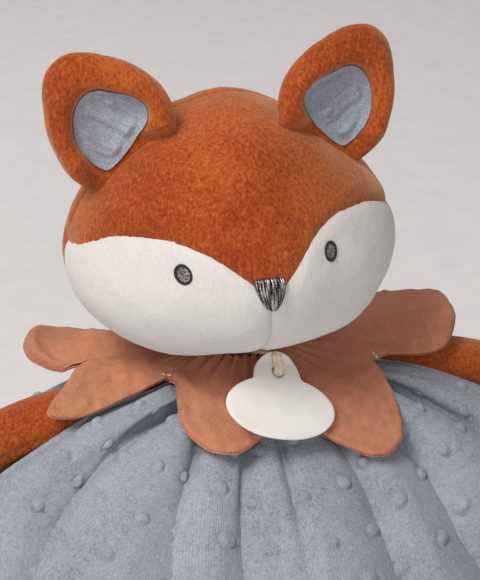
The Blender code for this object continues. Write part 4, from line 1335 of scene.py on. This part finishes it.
# How far out the shown petals reach, by place in petals, as a share of the solid's reach
SHOWN_REACH_SHARES = (
    (0.0, 0.88), (0.15, 0.96), (0.30, 1.0), (0.50, 0.97), (0.70, 0.99), (0.90, 0.95), (1.0, 0.95),
    (1.10, 0.93), (1.20, 0.89), (1.30, 0.845), (1.38, 0.835), (1.46, 0.86), (1.54, 0.955),
    (1.60, 1.01), (1.68, 1.015), (1.78, 1.005), (1.81, 0.975), (1.83, 0.94), (1.85, 0.895),
    (1.87, 0.835), (1.89, 0.78), (1.91, 0.71), (1.93, 0.66), (1.945, 0.58), (1.96, 0.60),
    (1.98, 0.69), (2.0, 0.95), (2.02, 0.80), (2.05, 0.75), (2.10, 0.69), (2.18, 0.75),
    (2.25, 0.815), (2.30, 0.88), (2.36, 0.915), (2.50, 0.96), (2.65, 0.99), (2.75, 0.955),
    (2.85, 0.945), (3.0, 0.90), (3.12, 0.82), (3.20, 0.845), (3.30, 0.90), (3.38, 0.97),
    (3.46, 1.01), (3.61, 1.035), (3.70, 1.015), (3.79, 0.955), (3.93, 0.93), (4.0, 0.88),
    (4.06, 0.75), (4.11, 0.80), (4.14, 0.98), (4.20, 1.02), (4.34, 1.0), (4.45, 0.99),
    (4.60, 1.055), (4.73, 1.055), (4.85, 1.0), (5.0, 1.0), (6.5, 1.0), (6.65, 0.95),
    (6.80, 0.87), (6.92, 0.84),
)


def shown_reach(petals):
    places, shares = np.array(SHOWN_REACH_SHARES).T
    return sum(np.interp(petals + shift, places, shares, period=len(PETAL_SHARES))
               for shift in (-SHOWN_REACH_BLUR, 0.0, SHOWN_REACH_BLUR)) / 3


# Raised dots, and ridges from one place to another with their height, by petal and share out
COLLAR_DOTS = (
    (0.40, 0.62), (0.66, 0.80), (1.35, 0.78), (1.62, 0.55), (1.70, 0.86), (2.30, 0.80),
    (2.62, 0.62), (2.78, 0.84), (3.34, 0.52), (3.52, 0.80), (3.74, 0.60), (4.22, 0.50),
    (4.40, 0.78), (4.64, 0.60), (4.72, 0.86), (5.40, 0.70), (5.66, 0.84), (6.40, 0.66),
    (6.62, 0.84),
)
COLLAR_RIDGES = (
    ((1.96, 0.52), (2.35, 0.60), 0.0017), ((1.55, 0.45), (1.95, 0.80), 0.0010),
    ((3.05, 0.75), (3.45, 0.50), 0.0009), ((3.97, 0.95), (3.72, 0.62), 0.0012),
    ((4.20, 0.60), (4.75, 0.82), 0.0008), ((0.80, 0.70), (1.10, 0.92), 0.0010),
)


COLLAR_COLUMNS_PER_PETAL = 72
COLLAR_ROWS = 84
COLLAR_CRINKLES = ((0.00085, 0.008, 31), (0.0005, 0.0042, 32), (0.00022, 0.0017, 33))
COLLAR_GATHER_DRIFT = 0.02
COLLAR_PUCKER_DRIFT = 0.012
COLLAR_UNEVENNESS = (0.25, 0.002)
COLLAR_GATHERS = 6
COLLAR_GATHER_RISE = 0.0007
COLLAR_GATHER_REACH = 0.022
COLLAR_PUCKERS = 11
COLLAR_PUCKER_RISE = 0.00016
COLLAR_DOT_RISE = 0.0009
COLLAR_DOT_SIZE = 0.0019
COLLAR_RIDGE_WIDTH = 0.0022
COLLAR_RIDGE_SHARES = (0.35, 0.65)
# Places from the petals' edge, each with its spread
EDGE_ROLL = (0.0010, 0.0008)
EDGE_SEAM = (0.0020, 0.0018)
CURL_RIM = (0.0030, 0.0026)
CURL_DIP = (0.0115, 0.0050)
# The rim of the petal at the back left curls up
CURL_RISE = 0.0030
CURL_HOLLOW = 0.0012
CURL_RUN = (0.12, 0.25, 0.95, 0.25)
COLLAR_DENT = 0.0009
COLLAR_LAYER = 0.0007
COLLAR_ROLL = 0.00018
COLLAR_EDGE = 0.00004
COLLAR_EDGE_ROUND = 0.0016
COLLAR_TOP_RISE = 0.00015
LINING_SINK = (0.00030, 0.0003, 0.006)
LINING_OUT = (0.0007, 0.003)
# Notches where ends of ecru thread show, and the stitch that they are made of
THREAD_NOTCHES = {"left": 1.95, "right": 4.02}
THREAD_PLACE_SHARES = (0.97, 0.80)
THREAD_RISE = 0.0016
THREAD_SPREAD = 0.0022
THREAD_LEAN = 0.0010
THREAD_STITCH = (0.0019, 0.0003, 0.00042)
THREAD_POINTS = 9
COVER_POINTS = 700


def under_collar(x, y):
    """Whether places seen from above are covered by the petals."""
    petals = np.linspace(0, len(PETAL_SHARES), COVER_POINTS, endpoint=False)
    edge = collar_surface(petals, shown_reach(petals))[0]
    angle = np.arctan2(edge[:, 0], -edge[:, 1])
    order = np.argsort(angle)
    reach = np.interp(np.arctan2(x, -y), angle[order], np.hypot(edge[:, 0], edge[:, 1])[order],
                      period=2 * math.pi)
    return np.hypot(x, y) < reach


def make_thread_ends():
    for side, petal in THREAD_NOTCHES.items():
        petal = np.array(petal)
        spot, inner = (
            collar_surface(petal, share * shown_reach(petal))[0] for share in THREAD_PLACE_SHARES)
        outward = unit(spot - inner)
        across = np.cross(outward, (0.0, 0.0, 1.0))
        up = np.cross(across, outward)
        half = np.linspace(-1, 1, THREAD_POINTS)[:, None]
        line = spot + up * THREAD_RISE
        line = line + across * THREAD_SPREAD * half + outward * THREAD_LEAN * half
        made = stitch_row(f"thread_ends_{side}", line, np.tile(up, (THREAD_POINTS, 1)),
                          *THREAD_STITCH, CREAM_THREAD)
        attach(made, "blanket")


def make_collar():
    count = len(PETAL_SHARES)
    petals = np.arange(count * COLLAR_COLUMNS_PER_PETAL) / COLLAR_COLUMNS_PER_PETAL
    petals, out = np.meshgrid(petals, np.linspace(0, 1, COLLAR_ROWS))
    shown = shown_reach(petals)
    middle, length = collar_surface(petals, out * shown)
    normal = grid_normals(middle, closed=True)
    normal = np.where(normal[..., 2:] < 0, -normal, normal)
    reach = COLLAR_REACH * out * shown * length
    edge = COLLAR_REACH * (1 - out) * shown * length
    gather = petals * 2 * math.pi * COLLAR_GATHERS + 2 * noise(middle, COLLAR_GATHER_DRIFT, 34)
    gather = COLLAR_GATHER_RISE * np.sin(gather) * ease(1 - reach / COLLAR_GATHER_REACH)
    pucker = 2 * math.pi * petals * COLLAR_PUCKERS + 4 * noise(middle, COLLAR_PUCKER_DRIFT, 35)
    pucker = COLLAR_PUCKER_RISE * np.sin(pucker) * hill(edge, *EDGE_SEAM)
    moved = swells(middle, COLLAR_CRINKLES) * ease(out * 2) + gather + pucker

    def at(petal, share):
        return collar_surface(np.array(petal), np.array(share))[0]

    uneven = 1 + COLLAR_UNEVENNESS[0] * noise(middle, COLLAR_UNEVENNESS[1], 36)
    for place in COLLAR_DOTS:
        away = np.linalg.norm(middle - at(*place), axis=-1) * uneven
        moved = moved + COLLAR_DOT_RISE * np.exp(-(away / COLLAR_DOT_SIZE) ** 3)
    for first, last, height in COLLAR_RIDGES:
        start = at(*first)
        line = at(*last) - start
        along = np.clip(((middle - start) * line).sum(axis=-1) / (line * line).sum(), 0, 1)
        away = np.linalg.norm(middle - start - along[..., None] * line, axis=-1)
        taper = COLLAR_RIDGE_SHARES[0] + COLLAR_RIDGE_SHARES[1] * np.sin(math.pi * along)
        moved = moved + height * hill(away, 0, COLLAR_RIDGE_WIDTH) * taper
    moved = moved + window(petals, *CURL_RUN) * (
        CURL_RISE * hill(edge, *CURL_RIM) - CURL_HOLLOW * hill(edge, *CURL_DIP))
    moved = np.maximum(moved, -COLLAR_DENT)
    puff = COLLAR_LAYER + COLLAR_ROLL * hill(edge, *EDGE_ROLL)
    puff = puff * np.sqrt(np.clip(edge / COLLAR_EDGE_ROUND, 0.0, 1.0)) + COLLAR_EDGE
    top = middle + normal * (moved + COLLAR_TOP_RISE)[..., None]
    sink = LINING_SINK[0] + LINING_SINK[1] * ease(1 - edge / LINING_SINK[2])
    lower = middle + normal * (moved - sink)[..., None]
    outward = LINING_OUT[0] * ease(1 - edge / LINING_OUT[1])
    lower[..., :2] += unit(middle[..., :2]) * outward[..., None]
    for name, near_side, far_side in (
        ("collar_top", top, top + normal * puff[..., None]),
        ("collar_lining", lower - normal * puff[..., None], lower),
    ):
        made = shell_piece(f"{name}_gauze", far_side, near_side, GAUZE, closed=True,
                           uv=middle[..., :2])
        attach(made, "blanket")
        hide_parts(name)


def bell_surface(valleys, facing, column, down):
    """Points between the layers of a blanket panel. column counts folds, and down is a share."""
    level, half_width, half_depth = bell_size(down)
    fold = np.clip(np.floor(column).astype(int), 0, len(valleys) - 2)
    across = column - fold
    valleys = np.array(valleys)
    share = valleys[fold] + (valleys[fold + 1] - valleys[fold]) * across
    root = ARM_ROOT_RADIUS - ARM_SEAT
    slit = PAW_RADIUS + ARM_SLIT_CLEARANCE
    slit = root + (slit - root) * ease((down - SLIT_GROWTH_SHARES[0]) / SLIT_GROWTH_SHARES[1])
    opening = slit * ease((down - SLIT_SHARES[0]) / SLIT_SHARES[1])
    opening = opening * ease((SLIT_SHARES[2] - down) / SLIT_SHARES[3]) + SEAM_HALF_GAP
    edge = np.arccos(np.minimum(1.0, opening / half_depth))
    angle = share * edge
    full = np.minimum(1.0, (valleys[fold + 1] - valleys[fold]) / FULL_FOLD_SHARE)
    wave = 2 * full * np.sin(math.pi * np.clip(across, 0, 1)) - 1
    push = FOLD_DEPTH * down ** FOLD_GROWTH * wave * (1 - FOLD_CALM_SHARE * np.abs(share) ** 6)
    x = half_width * np.sin(angle)
    y = half_depth * np.cos(angle)
    away = unit(np.stack([x / half_width ** 2, y / half_depth ** 2], axis=-1))
    return np.stack([
        x + push * away[..., 0], facing * (y + push * away[..., 1]), level], axis=-1), share


COLUMNS_PER_FOLD = 56
BLANKET_ROWS = 200
MAP_ROW_SHARE = 0.62
# How far from the side seams the folds are calm, in folds
CALM_EDGES = {"front": 0.25, "back": 0.60}
FOLD_SEEDS = {"front": 40, "back": 60}
PLEATS_PER_FOLD = 1.5
PLEAT_DEPTH = 0.0011
VALLEY_DEPTH = 0.0032
POCKET_DEPTH = 0.0055
CREASE_DEPTH = 0.0034
# Half widths of a valley and a pocket in folds, and of the crease in shares
VALLEY_SPREAD = 0.10
POCKET_SPREAD = 0.15
CREASE_SPREAD = 0.016
# Runs down the blanket: where each starts, how it grows, where it ends and how it falls
PLEAT_RUN = (0, 0.1, 0.70, 0.5)
VALLEY_RUN = (0, 0.12, 0.85, 0.6)
POCKET_RUN = (0, 0.10, 0.52, 0.30)
CREASE_RUN = (0, 0.12, 0.95, 0.5)
SAG_RUN = (0, 0.10, 0.62, 0.25)
SAG_ASIDE_SHARES = (0.55, 0.3)
FOLD_DRIFTS = (0.45, 0.05)
FOLD_DRIFT_SIZE = 1.3
CREST_FLATNESS = 0.0042
CREST_FLAT_SHARE = 0.62
CREST_FLAT_RUN = (0.35, 0.5)
BROAD_WAVES = (0.0016, 0.012)
BROAD_STEPS = (0.03, 0.05)
BROAD_START = 0.3
CRUMPLE = (0.00030, 0.006)
BACK_SAG = 0.0045
BUBBLE_PITCH_ACROSS = 0.0185
BUBBLE_PITCH_DOWN = 0.0170
BUBBLE_HALF_WIDTH = 0.0028
BUBBLE_HALF_LENGTH = 0.0020
BUBBLE_RISE = 0.0012
BUBBLE_STAGGER = (0.5, 0.16, 2.3)
BUBBLE_DRIFT = (0.12, 5.1, 1.7)
BUBBLE_ROUNDING = (1.12, 3.0, 0.7)
BUBBLE_DIMPLE = (1.32, 0.22)
BUBBLE_DIMPLE_SHARES = (0.35, 0.30)
BUBBLE_START = 0.12
BUBBLE_RIB_SHARES = (0.86, 0.14)
BUBBLE_RIB_PITCH = 0.0012
RIB_RISE = 0.00006
RIB_PITCH = 0.0021
MAP_RIB_PITCH = 0.00088
# The hem's turned edge, its seam and the stitches in it, from the lower edge
HEM_WIDTH = (0.009, 0.0012)
HEM_RISE = 0.0004
HEM_SEAM = (-0.0085, 0.0006)
HEM_SEAM_DEPTH = 0.0006
HEM_STITCH_PLACE = 0.0078
HEM_STITCH = (0.0026, 0.0012, 0.00028)
# Surfaces of the cloth and its lining, from the middle of the fold
CLOTH_OUTSIDE = 0.0013
CLOTH_INSIDE = 0.0004
LINING_OUTSIDE = -0.0004
LINING_INSIDE = -0.0014
LINING_HEM_LEVEL = 0.0012
COVER_CLEARANCE = 0.0009


def bubbles(across, along):
    """Height share of raised ovals in staggered rows, with a dimple round each."""
    row = np.floor(along / BUBBLE_PITCH_DOWN)
    step, sway, pace = BUBBLE_STAGGER
    stagger = (row % 2) * step + sway * np.sin(row * pace)
    column = np.floor(across / BUBBLE_PITCH_ACROSS + stagger)
    sway, across_pace, down_pace = BUBBLE_DRIFT
    drift = sway * np.sin(column * across_pace + row * down_pace)
    u = (across / BUBBLE_PITCH_ACROSS + stagger - column - 0.5) * BUBBLE_PITCH_ACROSS
    v = (along / BUBBLE_PITCH_DOWN - row - 0.5 - drift) * BUBBLE_PITCH_DOWN
    away = np.hypot(u / BUBBLE_HALF_WIDTH, v / BUBBLE_HALF_LENGTH)
    lower = BUBBLE_DIMPLE_SHARES[0] + BUBBLE_DIMPLE_SHARES[1] * ease(v / BUBBLE_HALF_LENGTH)
    full, power, roundness = BUBBLE_ROUNDING
    raised = np.clip(full - away ** power, 0, 1) ** roundness
    return raised - lower * hill(away, *BUBBLE_DIMPLE)


def fold_relief(side, column, down, share, middle):
    """How far the cloth stands out from its plain folds, with pleats, pockets and a crease."""
    seed = FOLD_SEEDS[side]
    drift = noise(np.stack([column, down * 3], axis=-1), FOLD_DRIFT_SIZE, seed)
    turns = column * PLEATS_PER_FOLD + FOLD_DRIFTS[0] * drift
    pleats = PLEAT_DEPTH * np.sin(2 * math.pi * turns) * window(down, *PLEAT_RUN)
    aside = column + FOLD_DRIFTS[1] * drift
    aside = aside - np.round(aside)
    pocket = hill(aside, 0, POCKET_SPREAD) * window(down, *POCKET_RUN)
    valley = hill(aside, 0, VALLEY_SPREAD) * window(down, *VALLEY_RUN)
    crest = np.sin(math.pi * (column - np.floor(column)))
    start, rise = CREST_FLAT_RUN
    flat = CREST_FLATNESS * (CREST_FLAT_SHARE - crest) * ease((down - start) / rise)
    broad = np.stack([column * BROAD_STEPS[0], down * BROAD_STEPS[1]], axis=-1)
    broad = BROAD_WAVES[0] * noise(broad, BROAD_WAVES[1], seed + 1) * ease(down / BROAD_START)
    crumple = CRUMPLE[0] * noise(middle, CRUMPLE[1], seed + 2)
    crease = hill(share, FRONT_CREASE_SHARE, CREASE_SPREAD) * window(down, *CREASE_RUN)
    sunk = VALLEY_DEPTH * valley + POCKET_DEPTH * pocket
    if side == "front":
        sunk = sunk + CREASE_DEPTH * crease
    return pleats + broad + crumple + flat - sunk


def make_blanket():
    for side, valleys, facing in (
        ("front", SHOWN_FRONT_VALLEY_SHARES, -1), ("back", BACK_VALLEY_SHARES, 1),
    ):
        folds = len(valleys) - 1
        column, down = np.meshgrid(
            np.linspace(0, folds, folds * COLUMNS_PER_FOLD + 1), np.linspace(0, 1, BLANKET_ROWS))
        middle, share = bell_surface(valleys, facing, column, down)
        out = grid_normals(middle)
        if (out[BLANKET_ROWS // 2, :, 1] * facing).mean() < 0:
            out = -out
        width = run_along(middle[int(BLANKET_ROWS * MAP_ROW_SHARE)])
        across = np.tile(width, (BLANKET_ROWS, 1))
        along = np.stack([run_along(middle[:, i]) for i in range(len(width))], axis=1)
        calm = ease(np.minimum(column, folds - column) / CALM_EDGES[side])
        moved = fold_relief(side, column, down, share, middle) * calm
        shape = middle + out * moved[..., None]
        if side == "back":
            aside = ease((-share - SAG_ASIDE_SHARES[0]) / SAG_ASIDE_SHARES[1])
            shape[..., 2] -= BACK_SAG * aside * window(down, *SAG_RUN)
        dots = bubbles(across, along) * ease(down / BUBBLE_START) * calm
        rib = np.sin(2 * math.pi * across / BUBBLE_RIB_PITCH)
        dots = dots * (BUBBLE_RIB_SHARES[0] + BUBBLE_RIB_SHARES[1] * rib)
        ribs = RIB_RISE * np.abs(np.sin(math.pi * across / RIB_PITCH))
        hem = ease((along - along[-1:] + HEM_WIDTH[0]) / HEM_WIDTH[1])
        seam = hill(along - along[-1:], *HEM_SEAM)
        outside = CLOTH_OUTSIDE + ribs + BUBBLE_RISE * dots * (1 - hem)
        outside = outside + HEM_RISE * hem - HEM_SEAM_DEPTH * seam
        top = shape + out * outside[..., None]
        under = shape + out * CLOTH_INSIDE
        covered = under_collar(top[..., 0], top[..., 1])
        crest = bell_crest(top[..., 0], top[..., 1]) + COVER_CLEARANCE
        highest = np.where(covered, crest, 1.0)
        for grid, lower in ((top, 0.0), (under, COVER_CLEARANCE)):
            grid[..., 2] = np.maximum(np.minimum(grid[..., 2], highest - lower), 0.0)
            grid[-1, :, 2] = 0.0
        uv = np.stack([across / MAP_RIB_PITCH, along], axis=-1)
        made = shell_piece(f"blanket_{side}_knit", top, under, KNIT, uv=uv)
        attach(made, "blanket")
        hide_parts(f"blanket_{side}")
        layers = [shape + out * LINING_OUTSIDE, shape + out * LINING_INSIDE]
        for grid in layers:
            grid[..., 2] = np.maximum(grid[..., 2], LINING_HEM_LEVEL)
            grid[-1, :, 2] = LINING_HEM_LEVEL
        # Every other row and column is enough, and the last one taken is moved to the hem
        thin = (slice(None, None, 2), slice(None, None, 2))
        for grid in (*layers, uv):
            grid[-2] = grid[-1]
        made = shell_piece(
            f"lining_{side}_jersey", layers[0][thin], layers[1][thin], LINING, uv=uv[thin])
        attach(made, "blanket")
        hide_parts(f"lining_{side}")
        row = int(np.argmin(np.abs(along[:, 0] - along[-1, 0] + HEM_STITCH_PLACE)))
        made = stitch_row(f"hem_stitches_{side}", top[row, 4:-4], out[row, 4:-4], *HEM_STITCH,
                          BLUE_THREAD)
        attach(made, "blanket")


# Arms

ARM_STEPS = 40
ARM_COLUMNS = 72
ARM_CAP_DEGREES = (4, 88)
ARM_CAP_ROWS = {"root": 16, "paw": 20}
ARM_SWELLS = ((0.0004, 0.012, 71), (0.00009, 0.0016, 72))
ARM_SEAM_DEPTH = 0.0005
ARM_SEAM_TURN = 0.10
ARM_INSET = 0.0003


def make_arms():
    line = arm_line(ARM_STEPS)
    turn = full_turn(ARM_COLUMNS)
    nearly_flat, nearly_upright = ARM_CAP_DEGREES
    for side, sign in (("left", -1), ("right", 1)):
        rings = []
        for angle in np.radians(np.linspace(nearly_upright, nearly_flat, ARM_CAP_ROWS["root"])):
            rings.append((-ARM_ROOT_RADIUS * math.sin(angle), 0.0, 0.0,
                          ARM_ROOT_RADIUS * math.cos(angle)))
        rings += [tuple(row) for row in line]
        out, down, slope = line[-1, :3]
        for angle in np.radians(np.linspace(nearly_flat, nearly_upright, ARM_CAP_ROWS["paw"])):
            rings.append((
                out + PAW_RADIUS * math.sin(angle) * math.cos(slope),
                down + PAW_RADIUS * math.sin(angle) * math.sin(slope), slope,
                PAW_RADIUS * math.cos(angle)))
        out, down, slope, radius = np.array(rings).T[..., None]
        centre = np.stack([sign * out, 0 * out, -down], axis=-1)
        across = radius * np.cos(turn)
        upward = radius * np.sin(turn)
        away = np.stack([upward * (sign * np.sin(slope)), across, upward * np.cos(slope)], axis=-1)
        grid = centre + away + (sign * ARM_PIVOT_OUT, 0, NECK_LEVEL - ARM_PIVOT_DROP)
        seam = hill(np.minimum(turn, 2 * math.pi - turn), 0, ARM_SEAM_TURN)
        seam = seam + hill(turn, math.pi, ARM_SEAM_TURN)
        moved = swells(grid, ARM_SWELLS) - ARM_SEAM_DEPTH * seam - ARM_INSET
        grid = grid + unit(away) * moved[..., None]
        made = mesh_piece(f"arm_{side}_plush", grid.reshape(-1, 3),
                          tube_faces(len(rings), ARM_COLUMNS), ORANGE)
        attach(made, f"arm_{side}")
        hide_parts(f"arm_{side}")


# Tag and cord

TAG_COLUMNS = 160
# Rows from the hole to the outline, closer where the edge is rounded
TAG_ROWS = (0.0, 0.012, 0.03, 0.1, 0.2, 0.3, 0.4, 0.5, 0.6, 0.7, 0.8, 0.9, 0.97, 0.988, 1.0)
TAG_EDGE_SHARE = 0.03
TAG_EDGE_THICKNESS_SHARE = 0.45
TAG_BLURS = 3
TAG_WAVES = ((0.00035, 0.012, 81),)
TAG_BEND_START = 0.002
TAG_BEND_LENGTH = 0.005
CORD_STEPS = 150


def tag_outline():
    """The tag's edge in its own plane, from the hole: an oval with a lobe towards the cord."""
    turn = full_turn(TAG_COLUMNS)
    centre = TAG_HEIGHT / 2
    up, side = np.cos(turn), np.sin(turn)
    oval = 1 / np.hypot(2 * up / TAG_HEIGHT, 2 * side / TAG_WIDTH)
    inside = TAG_SHOWN_LOBE_RADIUS ** 2 - (centre * side) ** 2
    lobe = np.where((inside > 0) & (up > 0), centre * up + np.sqrt(np.maximum(inside, 0)), 0)
    reach = np.maximum(oval, lobe)
    for _ in range(TAG_BLURS):
        reach = (np.roll(reach, 1) + reach + np.roll(reach, -1)) / 3
    hole = centre + TAG_LOBE_RADIUS - TAG_HOLE_INSET
    return np.stack([
        reach * side - TAG_OUTLINE_ASIDE, reach * up - hole + TAG_OUTLINE_RISE], axis=1)


def make_tag():
    turn = Matrix.Rotation(TAG_TWIST, 3, "Y") @ Matrix.Rotation(-(math.pi / 2 - TAG_SLOPE), 3, "X")
    place = Matrix.Translation(TAG_HINGE) @ turn.to_4x4()
    outline = tag_outline()
    angle = np.arctan2(outline[:, 0], outline[:, 1])
    hole = TAG_HOLE_RADIUS * np.stack([np.sin(angle), np.cos(angle)], axis=1)
    step = np.array(TAG_ROWS)[:, None]
    round_off = np.sqrt(np.clip(np.minimum(step, 1 - step) / TAG_EDGE_SHARE, 0, 1))
    thick = TAG_THICKNESS / 2 * (
        (1 - TAG_EDGE_THICKNESS_SHARE) * round_off + TAG_EDGE_THICKNESS_SHARE)
    flat = hole + (outline - hole) * step[..., None]
    bend = TAG_TOP_BEND * ease((flat[..., 1] - TAG_BEND_START) / TAG_BEND_LENGTH)
    wave = swells(flat, TAG_WAVES) - bend
    front, back = (placed(np.stack([flat[..., 0], depth + wave, flat[..., 1]], axis=-1), place)
                   for depth in (-thick, thick))
    made = shell_piece("tag_felt", front, back, FELT, closed=True)
    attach(made, "tag")
    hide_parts("tag")
    return np.array(turn)


def make_cord(tag_turn):
    along = Vector(tag_turn @ np.array([0, 0, -1.0]))
    out = Vector(tag_turn @ np.array([0, -1.0, 0]))
    side = Vector((CORD_SPREAD, 0, 0))
    clear = TAG_THICKNESS / 2 + CORD_DIAMETER / 2 + 2 * GAP
    lobe = TAG_HOLE_INSET
    hinge = TAG_HINGE
    reach = COLLAR_INNER_RADIUS - CORD_DIAMETER / 2 - 2 * GAP
    over = NECK_LEVEL + COLLAR_RISE
    root = Vector((0, -reach, NECK_LEVEL - BINDING_DROP + CORD_DIAMETER / 2))
    turn = Vector((0, -reach - GAP, over + CORD_DIAMETER / 2))
    mid = Vector((0, -COLLAR_INNER_RADIUS - GAP, over + CORD_LIFT_SHARE * CORD_DIAMETER))
    route = [
        root - side, turn - side, mid - side,
        hinge - along * (lobe + CORD_DIAMETER / 2) + out * clear - side,
        hinge - along * lobe / 2 + out * (clear + CORD_DIAMETER / 4) - side / 2,
        hinge + out * clear * CORD_TUCK_SHARE,
        hinge - out * clear * CORD_TUCK_SHARE,
        hinge - along * lobe / 2 - out * (clear + CORD_DIAMETER / 2) + side / 2,
        hinge - along * (lobe + CORD_DIAMETER / 2) - out * (clear + CORD_DIAMETER / 2) + side,
        mid + side, turn + side, root + side,
    ]
    path = smooth_table([tuple(p) for p in route], np.linspace(0, len(route) - 1, CORD_STEPS))
    share = np.linspace(0, 1, CORD_STEPS)
    swell = CORD_SWELL * window(share, *CORD_SWELL_RUN)
    at = int(CORD_SHOWN_SHARE * CORD_STEPS)
    camera = np.array(bpy.context.scene.camera.location)
    made = two_strands("tag_cord_strands", path, CORD_DIAMETER / 2 + swell, CORD,
                       camera - path[at], at)
    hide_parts("tag_cord")
    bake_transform(made)


make_camera()
make_light()
make_head()
make_eyes()
make_nose()
make_ears()
make_neck()
make_collar()
make_thread_ends()
make_blanket()
make_arms()
make_cord(make_tag())
